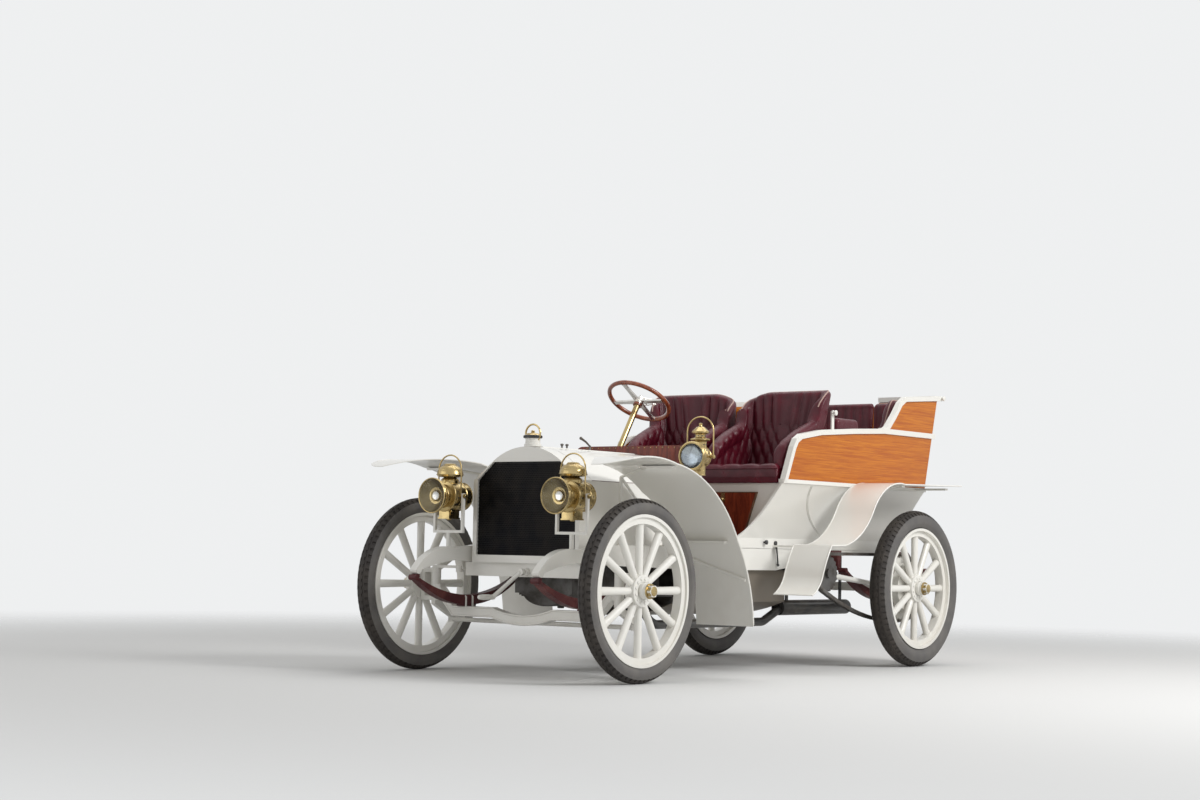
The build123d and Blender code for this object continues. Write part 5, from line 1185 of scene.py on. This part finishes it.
@dataclass
class Headlamp:
    """Inner glass, reflector, bezel bands, vents and fittings of one projector lamp. The barrel's inside is
    darkened brass and the vents are black dots, both painted shade.
    """

    side: Side
    x: float = 409.0
    front: float = -275.0
    z: float = 915.0

    def build(self) -> list[bpy.types.Object]:
        """Makes the lamp's pieces."""
        label = self.side.name.lower()
        x = self.x * self.side.value
        y = self.front + 140
        face = at(x, self.front, self.z)
        middle = at(x, y, self.z)
        bright = Mould()
        bright.lathe([(0.093, 0.0610), (0.097, 0.077), (0.101, 0.080), (0.185, 0.080), (0.189, 0.077),
                      (0.191, 0.066)], face, BACK, 64)
        bright.wires(((2, 89, 3.4), (13, 88.5, 2.6), (62, 61.5, 2.6), (99, 79.5, 2.6), (143, 79.8, 1.8),
                      (187, 79.5, 2.6), (199, 72, 2.2), (238, 72, 2.2)), face, BACK, (ACROSS, UP), 56, 8)
        bright.wires(((84, 46, 2.6), (90, 41, 2.0), (98, 33, 2.0), (111, 69.5, 3.0), (163, 32, 2.0)),
                     middle, UP, (ACROSS, BACK), 40, 6)
        bright.lathe([(0.099, 0.050), (0.102, 0.065), (0.111, 0.070), (0.130, 0.067), (0.147, 0.053),
                      (0.162, 0.0325), (0.168, 0.029), (0.1705, 0.020), (0.1715, TIP)], middle, UP, 48)
        for way in (-1, 1):
            bright.lathe([(0.0, 0.012), (0.004, 0.012), (0.005, 0.009), (0.012, 0.009), (0.0135, 0.006),
                          (0.014, TIP)], at(x + way * 101.5, y, self.z), Vector((way, 0, 0)), 20)
            cross = at(x + way * 111, y, self.z)
            wing = ((-0.015, 0.005), (0, 0), (0.015, 0.005))
            bright.tube([cross + Vector((0, dy, dz)) for dy, dz in wing], 0.0032, 6)
        low = at(x, y, self.z - 108)
        bright.box(low + Vector((-0.0385, -0.044, -0.010)), low + Vector((0.0385, 0.044, -0.003)))
        bright.lathe([(-0.016, 0.010), (-0.012, 0.013), (-0.003, 0.013)], low, UP, 24)
        for way in (-1, 1):
            panel = low + Vector((way * 0.036, 0, 0.028))
            bright.box(panel + Vector((-0.002, -0.033, -0.020)), panel + Vector((0.002, 0.033, 0.020)))
            bright.ball(panel + Vector((way * 0.003, -0.026, 0.0)), 0.004)
        # Vent holes drawn as flat black dots on the barrel: painted shade for the dark inside of each hole
        vents = Mould()
        for k, a in enumerate(turns(28, 0.5)):
            out = Vector((math.cos(a), 0, math.sin(a)))
            vents.lathe([(0.0, 0.0044), (0.0008, 0.0041), (0.0009, TIP)],
                        face + BACK * (0.120 if k % 2 else 0.165) + out * 0.0798, out, 10)
        for a in turns(10):
            out = Vector((math.cos(a), 0, math.sin(a)))
            vents.lathe([(0.0, 0.0035), (0.0008, 0.0032), (0.0009, TIP)],
                        face + BACK * 0.218 + out * 0.0718, out, 10)
        made = [bright.make(f"headlamp_trim_{label}", BRASS, smooth=35.0),
                vents.make(f"headlamp_vents_{label}", BLACK, smooth=30.0)]
        for part, finish, steps, smooth, profile in (
            # The inside is brass darkened as painted shade of the deep barrel
            ("inside", SHADED_LAMP_INSIDE, 56, 40.0, [(0.0035, 0.0850), (0.016, 0.070), (0.028, 0.052),
                                               (0.0345, 0.0395)]),
            ("socket", BLACK, 40, 30.0, [(0.0342, 0.0405), (0.0338, 0.0372), (0.0372, 0.0300)]),
            ("dish", NICKEL, 40, 30.0, [(0.0368, 0.0305), (0.0374, TIP)]),
            ("bullseye", GLASS, 40, 60.0, [(0.036, 0.030), (0.028, 0.029), (0.021, 0.022), (0.018, 0.012),
                                           (0.017, TIP)]),
            ("pane", PANE, 56, 30.0, [(0.0010, TIP), (0.0010, 0.0865), (0.0030, 0.0865), (0.0030, TIP)]),
        ):
            made.append(turned(f"headlamp_{part}_{label}", finish, profile, face, BACK, steps, smooth))
        return made


@dataclass
class SideLamp:
    """Lens, bezel, bands, vents and font rings of the one side lamp, on the car's left. The vents are black
    dots of painted shade.
    """

    x: float = 486.0
    y: float = 853.0
    z: float = 1157.0
    turn: float = 8.0

    def build(self) -> list[bpy.types.Object]:
        """Makes the lamp's pieces."""
        centre = at(self.x, self.y, self.z)
        a = math.radians(self.turn)
        back = Vector((-math.sin(a), math.cos(a), 0))
        left = Vector((math.cos(a), math.sin(a), 0))
        bright = Mould()
        bright.wires(((-103, 71, 3.6), (-99, 75.5, 2.8), (-77, 75.5, 2.6), (-62, 60.5, 2.4), (-20, 56.5, 1.8),
                      (20, 54.5, 2.4), (49, 39, 2.0)), centre, back, (left, UP), 56, 8)
        bright.wires(((38, 34.5, 2.4), (80, 34.5, 2.2), (92, 52, 3.0), (103, 28.5, 2.0), (119, 28.5, 2.0),
                      (131, 45, 3.2), (-98, 30.5, 2.4), (-74, 30.5, 2.0)), centre, UP, (left, back), 40, 6)
        bright.lathe([(0.163, 0.010), (0.169, 0.008), (0.174, 0.011), (0.179, 0.008), (0.181, TIP)],
                     centre, UP, 20)
        for way in (-1, 1):
            bright.lathe([(0.0, 0.011), (0.003, 0.011), (0.004, 0.008), (0.008, 0.007), (0.009, TIP)],
                         centre + left * (way * 0.0795), left * way, 18)
        # Vent holes drawn as flat black dots on the lamp: painted shade for the dark inside of each hole
        vents = Mould()
        for height, radius, count in ((64, 34.1, 12), (111, 28.1, 8)):
            for b in turns(count):
                out = left * math.cos(b) + back * math.sin(b)
                vents.lathe([(0.0, 0.0042), (0.0007, 0.0040), (0.0008, TIP)],
                            centre + UP * (height * MM) + out * (radius * MM), out, 10)
        made = [bright.make("side_lamp_trim", BRASS, smooth=35.0),
                vents.make("side_lamp_vents", BLACK, smooth=30.0)]
        dish = [(-0.1000, 0.0655), (-0.0945, 0.052), (-0.0908, 0.036), (-0.0888, 0.018), (-0.0885, TIP)]
        made.append(turned("side_lamp_mirror", MIRROR, dish, centre, back, 48, 60.0))
        lens = Mould()
        lens.lathe([(-0.1005, 0.0665), (-0.1075, 0.056), (-0.1135, 0.036), (-0.1165, 0.015), (-0.117, TIP)],
                   centre, back, 48)
        lens.lathe([(-0.1005, 0.0665), (-0.1003, TIP)], centre, back, 48)
        made.append(lens.make("side_lamp_lens", GLASS, smooth=60.0))
        return made


@dataclass
class Front:
    """Honeycomb face, core seams, cap fittings, and the welts and rivets of the bonnet."""

    half: float = 327.0
    low: float = 616.0
    high: float = 1097.0
    cell: float = 11.0
    core_y: float = 6.3

    def inside(self, x: float, z: float) -> bool:
        """True inside the core's outline with its cut corners."""
        cut = self.half - (self.half - 222) * max(0.0, (z - 1004) / 94)
        return abs(x) < cut - 5 and self.low + 5 < z < self.high - 5

    def build(self) -> list[bpy.types.Object]:
        """Makes the front's pieces."""
        return [self.honeycomb(), self.bars(), self.cap(), *self.neck(), self.seams(), self.hinges()]

    def honeycomb(self) -> bpy.types.Object:
        """Hexagon tube ends over the whole core."""
        mould = Mould()
        pitch_x, pitch_z = self.cell, self.cell * math.sqrt(3) / 2
        radius = self.cell / math.sqrt(3)
        corners = [math.radians(60 * k + 30) for k in range(6)]
        row = 0
        z = self.low
        while z < self.high:
            x = -self.half + (row % 2) * pitch_x / 2
            while x < self.half:
                if self.inside(x, z):
                    rings = []
                    for share, front in ((1.0, 4.5), (0.8, 4.5), (0.74, 0.5)):
                        y = self.core_y - front
                        rings.append(mould.ring(at(x + radius * share * math.cos(a), y,
                                                   z + radius * share * math.sin(a)) for a in corners))
                    mould.skin(rings)
                x += pitch_x
            z += pitch_z
            row += 1
        return mould.make("radiator_honeycomb", CORE, smooth=20.0)

    def bars(self) -> bpy.types.Object:
        """Thin seams across the core where its blocks of tubes meet."""
        mould = Mould()
        for z in (969.0, 846.0, 719.0):
            mould.box(at(-self.half, self.core_y - 5.2, z - 0.9), at(self.half, self.core_y - 4.0, z + 0.9))
        return mould.make("radiator_seams", CORE, smooth=30.0)

    @property
    def filler(self) -> Vector:
        """Foot of the filler's neck."""
        return at(0, 40, 1176)

    def cap(self) -> bpy.types.Object:
        """Ribbed black grip round the filler cap."""
        mould = Mould()
        for a in turns(30):
            foot = self.filler + Vector((math.cos(a), math.sin(a), 0)) * 0.0468
            mould.tube([foot + UP * 0.046, foot + UP * 0.057], 0.0028, 6)
        mould.lathe([(0.0434, 0.0440), (0.0436, 0.0468), (0.0584, 0.0468), (0.0600, 0.0440)], self.filler, UP)
        return mould.make("filler_grip", BLACK, smooth=40.0)

    def neck(self) -> list[bpy.types.Object]:
        """White neck below the filler cap's black band, and the brass dome and knob above it."""
        neck = [(0.0004, 0.0450), (0.0125, 0.0450), (0.0185, 0.0390), (0.0402, 0.0390), (0.0433, 0.0450)]
        dome = [(0.0584, 0.0452), (0.0640, 0.0395), (0.0700, 0.0270), (0.0728, 0.0120), (0.0760, 0.0085),
                (0.0820, 0.0105), (0.0850, 0.0070), (0.0860, TIP)]
        return [turned("filler_neck", CREAM, neck, self.filler, UP, 48, 40.0),
                turned("filler_dome", BRASS, dome, self.filler, UP, 48, 50.0)]

    def seams(self) -> bpy.types.Object:
        """Dark welt along the bonnet's side joints."""
        mould = Mould()
        for side in Side:
            x = 350.5 * side.value
            mould.tube([at(x, 92, 1002.4), at(x, 898, 1002.4)], 0.0024, 6)
        return mould.make("bonnet_welt", MAROON, smooth=50.0)

    def hinges(self) -> bpy.types.Object:
        """Rivet heads along both sides of the bonnet's hinge."""
        mould = Mould()
        for y in range(110, 900, 46):
            for side in Side:
                mould.ball(at(31 * side.value, y, 1173.5), 0.0028, 0.7)
        return mould.make("bonnet_rivets", CREAM, smooth=50.0)


@dataclass
class GuardTrim:
    """Wired edges of the mudguards, and the slanting strips on the front ones' rear plates."""

    front_arcs: tuple[tuple[tuple[float, float], ...], ...] = (
        ((-345, 1066), (-100, 1112), (144, 1086)),
        ((144, 1086), (470, 957), (685, 717)),
        ((685, 717), (793, 513), (843, 275)),
    )

    @staticmethod
    def arc(points: tuple[tuple[float, float], ...], count: int) -> list[tuple[float, float]]:
        """Points along the arc through three points."""
        (y1, z1), (y2, z2), (y3, z3) = points
        turn = 2 * (y1 * (z2 - z3) + y2 * (z3 - z1) + y3 * (z1 - z2))
        s1, s2, s3 = (y * y + z * z for y, z in points)
        cy = (s1 * (z2 - z3) + s2 * (z3 - z1) + s3 * (z1 - z2)) / turn
        cz = (s1 * (y3 - y2) + s2 * (y1 - y3) + s3 * (y2 - y1)) / turn
        radius = math.hypot(y1 - cy, z1 - cz)
        first = math.atan2(z1 - cz, y1 - cy)
        last = math.atan2(z3 - cz, y3 - cy)
        if last - first > math.pi:
            last -= 2 * math.pi
        if first - last > math.pi:
            last += 2 * math.pi
        return [(cy + radius * math.cos(first + (last - first) * k / count),
                 cz + radius * math.sin(first + (last - first) * k / count)) for k in range(count + 1)]

    def build(self) -> list[bpy.types.Object]:
        """Makes the mudguards' trim."""
        return [self.front_beads(), self.rear_beads(), self.rib()]

    def front_beads(self) -> bpy.types.Object:
        """Wired outer edge of the front mudguards."""
        mould = Mould()
        line = [p for arc in self.front_arcs for p in self.arc(arc, 16)[:-1]]
        path = [at(848, y, z - 2.5) for y, z in line if y > -232]
        path.append(at(848, 842, 279))
        mould.tube(path, 0.0046, 8)
        mould.mirrored()
        return mould.make("front_guard_beads", CREAM, smooth=60.0)

    def rear_beads(self) -> bpy.types.Object:
        """Wired edges of the rear mudguards and steps."""
        arcs = (((1410, 430), (1480, 478), (1515, 530)), ((1515, 530), (1556, 620), (1608, 702)),
                ((1743, 704), (1950, 792), (2058, 912)), ((2058, 912), (2175, 1022), (2410, 1066)))
        line = [p for arc in arcs for p in self.arc(arc, 12)]
        line.append((3094, 1080))
        mould = Mould()
        for x in (848, 602):
            mould.tube([at(x, y, z - 2.5) for y, z in line], 0.0044, 8)
        mould.mirrored()
        return mould.make("rear_guard_beads", CREAM, smooth=60.0)

    def rib(self) -> bpy.types.Object:
        """Slanting stay strip with rivets on the front mudguards' rear plate."""
        mould = Mould()
        plate = self.arc(self.front_arcs[2], 40)
        line = []
        for k in range(13):
            z = 622 - 112 * k / 12
            y = min(plate, key=lambda p: abs(p[1] - z))[0]
            line.append(at(500 + 335 * k / 12, y - 12, z))
        mould.tube(line, 0.009, 10)
        for spot in line[1::5]:
            mould.ball(spot + Vector((0, -0.009, 0)), 0.006, 0.7)
        mould.mirrored()
        return mould.make("front_guard_rib", CREAM, smooth=50.0)


@dataclass
class RunningGear:
    """Spring clamps, starting crank, sump, axle edges and chain plates."""

    def build(self) -> list[bpy.types.Object]:
        """Makes the running gear's pieces."""
        return [self.clamps(), self.crank(), self.sump(), self.axle_flanges(), self.chain_plates()]

    def sump(self) -> bpy.types.Object:
        """Rounded foot of the crankcase below the engine, with its bolted flange and drain plug."""
        mould = Mould()
        rings = []
        for y, size in ((164, 0.93), (170, 1.0), (684, 1.0), (690, 0.93)):
            rings.append(mould.ring(at(150 * size * math.cos(math.pi * k / 20), y,
                                       422 - 68 * size * math.sin(math.pi * k / 20)) for k in range(21)))
        mould.loft(rings)
        mould.box(at(-168, 158, 410), at(168, 696, 421))
        down = Vector((0, 0, -1))
        for y in range(180, 700, 100):
            for x in (-160, 160):
                mould.bolt(at(x, y, 410), down, 0.014, 0.007)
        mould.bolt(at(0, 300, 355), down, 0.032, 0.012)
        return mould.make("engine_sump", IRON, smooth=40.0)

    def crank(self) -> bpy.types.Object:
        """Round starting crank with its collar, arm and turned grip."""
        mould = Mould()
        forward = Vector((0, -1, 0))
        mould.lathe([(0.0, TIP), (0.0, 0.0195), (0.022, 0.0195), (0.025, 0.015), (0.036, 0.015),
                     (0.039, 0.018), (0.058, 0.018), (0.060, TIP)], at(0, 17.7, 531), forward, 28)
        mould.tube([at(0, -32, 531), at(-24, -36, 513.3), at(-90, -36.5, 464.5), at(-180, -36.5, 398)],
                   [0.0150, 0.0115, 0.0105, 0.0120], 16)
        mould.lathe([(-0.012, TIP), (-0.012, 0.0125), (0.001, 0.0140), (0.006, 0.0115), (0.030, 0.0148),
                     (0.075, 0.0148), (0.102, 0.0120), (0.109, 0.0070), (0.110, TIP)],
                    at(-180, -43, 398), forward, 28)
        crank = mould.make("starting_crank", CREAM, "starting_handle", 45.0)
        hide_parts("starting_handle")
        return crank

    def axle_flanges(self) -> bpy.types.Object:
        """Raised edges along the forged front axle, which give it its channelled face."""
        mould = Mould()
        for y in (-23.0, 23.0):
            for shift in (-22.0, 22.0):
                line = []
                for k in range(-56, 57):
                    x = k * 10.0
                    z = 318.0
                    if abs(x) < 200:
                        z = 889.2 - math.sqrt(605.2 ** 2 - x * x)
                    elif abs(x) > 470:
                        z += 112.0 * (abs(x) - 470.0) / 105.0
                    line.append(at(x, y, z + shift))
                mould.tube(line, 0.0052, 8)
        return mould.make("front_axle_edges", CREAM, smooth=60.0)

    def clamps(self) -> bpy.types.Object:
        """U-bolts over the springs at both axles."""
        mould = Mould()
        hoop = ((-29, -34), (-29, 22), (-22, 28), (22, 28), (29, 22), (29, -34))
        for y, z, x in ((0.0, 372.0, 402.5), (WHEELBASE, 400.0, 520.0)):
            for shift in (-26.0, 26.0):
                mould.tube([at(x + dx, y + shift, z + dz) for dx, dz in hoop], 0.0052, 8)
        mould.mirrored()
        return mould.make("spring_clamps", CREAM, smooth=50.0)

    def chain_plates(self) -> bpy.types.Object:
        """Link plates on both faces of both chains, over the sprockets and along their slack lower run."""
        # Place behind the front axle, height and radius of each sprocket
        front, rear = (1900.0, 545.0, 104.0), (WHEELBASE, 460.0, 190.0)
        over, slack, pitch = 6.0, 46.0, 31.75
        reach, drop = rear[0] - front[0], front[1] - rear[1]
        span = math.hypot(reach, drop)
        lean = math.atan2(-drop, reach)
        spread = (rear[2] - front[2]) / span
        up = math.pi / 2 + lean + spread
        down = -math.pi / 2 + lean - spread
        line: list[tuple[float, float]] = []
        for (y, z, radius), start, end, count in ((rear, down, up, 39), (front, up, down + 2 * math.pi, 29)):
            for k in range(count + 1):
                a = start + (end - start) * k / count
                line.append((y + (radius + over) * math.cos(a), z + (radius + over) * math.sin(a)))
        (y0, z0), (y1, z1) = line[-1], line[0]
        for k in range(1, 24):
            t = k / 24
            line.append((y0 + (y1 - y0) * t, z0 + (z1 - z0) * t - slack * 4 * t * (1 - t)))
        mould = Mould()
        done = 0.0
        previous = Vector(line[0])
        marks = [previous.copy()]
        for spot in [Vector(p) for p in line[1:]] + [Vector(line[0])]:
            run = (spot - previous).length
            while done + run >= pitch:
                share = (pitch - done) / run
                previous = previous + (spot - previous) * share
                marks.append(previous.copy())
                run = (spot - previous).length
                done = 0.0
            done += run
            previous = spot
        for index, (first, second) in enumerate(zip(marks, marks[1:]), 1):
            middle = (first + second) / 2
            along = (second - first).normalized()
            across = Vector((-along.y, along.x))
            out = 2.4 if index % 2 else 1.2
            for x, sign in ((653.3, 1), (626.7, -1)):
                corners = []
                for depth in (-0.4, out):
                    for a, b in ((-20, -9), (20, -9), (24, 0), (20, 9), (-20, 9), (-24, 0)):
                        spot = middle + along * a + across * b
                        corners.append(at(x + sign * depth, spot.x, spot.y))
                n = mould.ring(corners)
                mould.bridge(n[:6], n[6:])
                mould.cap(n[6:])
        mould.mirrored()
        return mould.make("chain_links", STEEL, smooth=25.0)


@dataclass
class BodyTrim:
    """Mouldings, corner boards, sill levers and the small fittings on the bonnet and the dash."""

    section: tuple[tuple[float, float], ...] = ((735, 430), (780, 446), (830, 468), (893, 498), (960, 535),
                                                (1042, 590), (1100, 620))

    def build(self) -> list[bpy.types.Object]:
        """Makes the body's trim."""
        return [self.moulding(), self.sill_levers(), self.bonnet_catches(), self.dash_studs(),
                self.corner(CREAM, (735, 780, 830, 893, 960, 1041)), self.corner(AMBER, (1080, 1603))]

    def side_x(self, z: float) -> float:
        """How far out the flared body side stands at a height."""
        return next(x0 + (x1 - x0) * (z - z0) / (z1 - z0)
                    for (z0, x0), (z1, x1) in zip(self.section, self.section[1:]) if z <= z1)

    def corner(self, finish: Finish, heights: Sequence[float]) -> bpy.types.Object:
        """Boards that close the rear corners between the end wall and the flared side.

        Args:
            finish: The boards' finish: paint below the belt, wood above it.
            heights: Heights of the boards' corners, from the foot up.

        Returns:
            The boards of both sides.
        """
        mould = Mould()
        rings = []
        for z in heights:
            back = rear_face(z) - 1
            inner, outer = (414, self.side_x(z) - 9) if z < 1042 else (577, 590 + 0.089 * (z - 1042) - 11)
            plan = ((inner, back - 16), (outer, back - 16), (outer, back), (inner, back))
            rings.append(mould.ring(at(x, y, z) for x, y in plan))
        mould.loft(rings)
        mould.mirrored()
        return mould.make(f"corner_boards_{int(heights[0])}", finish, smooth=30.0)

    def moulding(self) -> bpy.types.Object:
        """Two thin beads that cross the flared side from the belt down to the sill."""
        mould = Mould()
        for shift in (0.0, 13.0):
            line = []
            for k in range(25):
                z = 1036.0 - 298.0 * k / 24
                share = (1036.0 - z) / 298.0
                line.append(at(self.side_x(z) + 0.8, 1806 + shift + 90 * share + 290 * share ** 2.2, z))
            mould.tube(line, 0.0022, 6)
        mould.mirrored()
        return mould.make("side_moulding", CREAM, smooth=60.0)

    def sill_levers(self) -> bpy.types.Object:
        """Small black knob and lever on the left sill, with the rod that runs down from the lever."""
        mould = Mould()
        mould.lathe([(-0.001, 0.006), (0.010, 0.006), (0.012, 0.013), (0.020, 0.013), (0.023, 0.008),
                     (0.024, TIP)], at(430, 1568, 712), ACROSS, 20)
        mould.lathe([(-0.001, 0.012), (0.008, 0.012), (0.010, TIP)], at(430, 1681, 709), ACROSS, 20)
        mould.tube([at(436, 1681, 709), at(437, 1694, 650), at(436, 1705, 586)], [0.006, 0.0045, 0.0045], 8)
        mould.ball(at(436, 1705, 586), 0.009)
        return mould.make("sill_levers", BLACK, smooth=45.0)

    def bonnet_catches(self) -> bpy.types.Object:
        """Two turned knobs and a handle on top of the bonnet."""
        mould = Mould()
        for y in (281, 323):
            mould.lathe([(0.0, 0.010), (0.004, 0.010), (0.005, 0.005), (0.018, 0.005), (0.021, 0.009),
                         (0.028, 0.009), (0.031, TIP)], at(0, y, 1175), UP, 20)
        mould.lathe([(0.0, 0.012), (0.004, 0.012), (0.006, 0.007), (0.030, 0.006), (0.034, TIP)],
                    at(0, 520, 1175), UP, 20)
        mould.tube([at(0, 520, 1202), at(0, 484, 1224), at(0, 441, 1241)], [0.0045, 0.0055, 0.007], 10)
        mould.ball(at(0, 441, 1241), 0.009)
        return mould.make("bonnet_catches", STEEL, smooth=45.0)

    def dash_studs(self) -> bpy.types.Object:
        """Brass studs along the dash's top edge."""
        mould = Mould()
        for x in range(-320, 340, 40):
            mould.ball(at(x, 904.5, 1213), 0.0042, 0.8)
        return mould.make("dash_studs", BRASS, smooth=50.0)


@dataclass
class Cockpit:
    """Heel panel, seat band, wheel spokes with their quadrant, hood knobs and the door's handle."""

    lean: float = 32.2
    wheel: Point = (-300.0, 1353.0, 1509.0)

    def build(self) -> list[bpy.types.Object]:
        """Makes the cockpit's pieces."""
        return [self.heel_panel(), self.catch(), self.seat_band(), self.spokes(), self.quadrant(),
                self.hood_knobs(), self.door_handle()]

    @property
    def column(self) -> Vector:
        """Direction up along the leaning steering column."""
        lean = math.radians(self.lean)
        return Vector((0, math.sin(lean), math.cos(lean)))

    def heel_panel(self) -> bpy.types.Object:
        """Mahogany board on the front of the seat box."""
        mould = Mould()
        mould.loft([mould.ring(at(x, y, z) for x, z in ((-335, 750), (335, 750), (412, 986), (-412, 986)))
                    for y in (1501.6, 1494.0)])
        return mould.make("heel_panel", MAHOGANY, smooth=30.0)

    def catch(self) -> bpy.types.Object:
        """Brass catches on the heel panel."""
        mould = Mould()
        for x in (200, -200):
            mould.box(at(x - 14, 1488, 930), at(x + 14, 1494.5, 984))
            mould.ball(at(x, 1486, 950), 0.008)
        return mould.make("heel_catches", BRASS, smooth=40.0)

    def seat_band(self) -> bpy.types.Object:
        """Maroon leather band round the foot of the front seats."""
        mould = Mould()
        for side in Side:
            a, b = sorted((side.value * 30, side.value * 551))
            mould.box(at(a, 1501, 1043), at(b, 1507, 1074))
        return mould.make("seat_band", LEATHER, smooth=30.0)

    def spokes(self) -> bpy.types.Object:
        """Nickel sleeves over the steering wheel's spokes and its hub plate."""
        up = self.column
        centre = at(*self.wheel)
        along = up.cross(ACROSS)
        mould = Mould()
        low = -0.0105
        for way in (ACROSS, -ACROSS, along, -along):
            side = up.cross(way)
            sections = []
            for distance, half, high in ((0.022, 0.0165, 0.0005), (0.09, 0.0125, 0.0003),
                                         (0.160, 0.0115, 0.0003), (0.1695, 0.015, 0.0003)):
                sections.append(mould.ring(centre + way * distance + side * s * half + up * h
                                           for s, h in ((-1, low), (1, low), (1, high), (-1, high))))
            mould.loft(sections)
        mould.lathe([(-0.020, 0.0265), (0.0125, 0.0268), (0.015, 0.024), (0.017, 0.012), (0.018, TIP)],
                    centre, up, 40)
        return mould.make("steering_spokes", NICKEL, "steering_wheel", 30.0)

    def quadrant(self) -> bpy.types.Object:
        """Spark and throttle levers on their quadrant above the wheel's hub."""
        up = self.column
        centre = at(*self.wheel) + up * 0.026
        along = up.cross(ACROSS)
        reach = 0.078
        mould = Mould()

        def toward(degrees: float) -> Vector:
            """Direction from the hub in the wheel's plane."""
            a = math.radians(degrees)
            return ACROSS * math.cos(a) + along * math.sin(a)

        mould.lathe([(-0.012, 0.008), (0.010, 0.008), (0.012, TIP)], centre, up, 16)
        mould.tube([centre + up * 0.002 + toward(20 + 140 * k / 24) * reach for k in range(25)], 0.004, 8)
        for angle in (20, 90, 160):
            mould.tube([centre, centre + toward(angle) * reach], 0.0028, 6)
        for angle in (60, 118):
            tip = centre + up * 0.008 + toward(angle) * 0.098
            mould.tube([centre + up * 0.006, tip], 0.003, 6)
            mould.ball(tip, 0.008)
        return mould.make("column_quadrant", NICKEL, "steering_wheel", 50.0)

    def hood_knobs(self) -> bpy.types.Object:
        """White collars and caps on the pins where a folding hood's irons are fastened."""
        mould = Mould()
        for x, y, z in ((619, 1978, 1458), (644, 3206, 1621)):
            mould.lathe([(0.0, 0.0155), (0.003, 0.0155), (0.005, 0.0112)], at(x, y, z), ACROSS, 24)
            mould.lathe([(0.014, 0.0112), (0.016, 0.0150), (0.022, 0.0150), (0.0245, 0.0115), (0.0255, TIP)],
                        at(x, y, z), ACROSS, 24)
        mould.mirrored()
        return mould.make("hood_knobs", CREAM, smooth=50.0)

    def door_handle(self) -> bpy.types.Object:
        """Lever handle on the rear door."""
        mould = Mould()
        foot = at(175, 3098 + 60 / 562 * (1330 - 1042), 1330)
        back = Vector((0, 0.994, -0.106))
        mould.lathe([(-0.002, 0.021), (0.003, 0.02), (0.005, 0.012), (0.018, 0.009), (0.020, TIP)],
                    foot, back, 24)
        mould.tube([foot + back * 0.015, foot + back * 0.017 + Vector((-0.05, 0, 0.002)),
                    foot + back * 0.016 + Vector((-0.088, 0, 0))], [0.007, 0.006, 0.0045], 10)
        return mould.make("door_handle", BRASS, "rear_door", 45.0)


def main() -> None:
    """Builds every sub-assembly in order and reports its pieces."""
    logging.basicConfig(level=logging.INFO, format="%(message)s")
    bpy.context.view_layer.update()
    for name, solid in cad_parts.items():
        solid.data.materials.clear()
        solid.data.materials.append(NODE_FINISH[name].material())
        soften_node(name, EDGES.get(name, EDGE))
    Studio().build()
    made: list[bpy.types.Object] = []
    for side in Side:
        made += RoadWheel("front", side, 0.0, tyre_radius=455.0, tyre_section=45.0, felloe=329.7).build()
        made += RoadWheel("rear", side, WHEELBASE, tyre_radius=460.0, tyre_section=58.0, felloe=308.7).build()
        made += Headlamp(side).build()
    for assembly in (SideLamp(), Front(), GuardTrim(), RunningGear(), BodyTrim(), Cockpit(), Seats()):
        made += assembly.build()
    for thing in made:
        log.info("%s: %d faces", thing.name, len(thing.data.polygons))


if __name__ == "__main__":
    main()
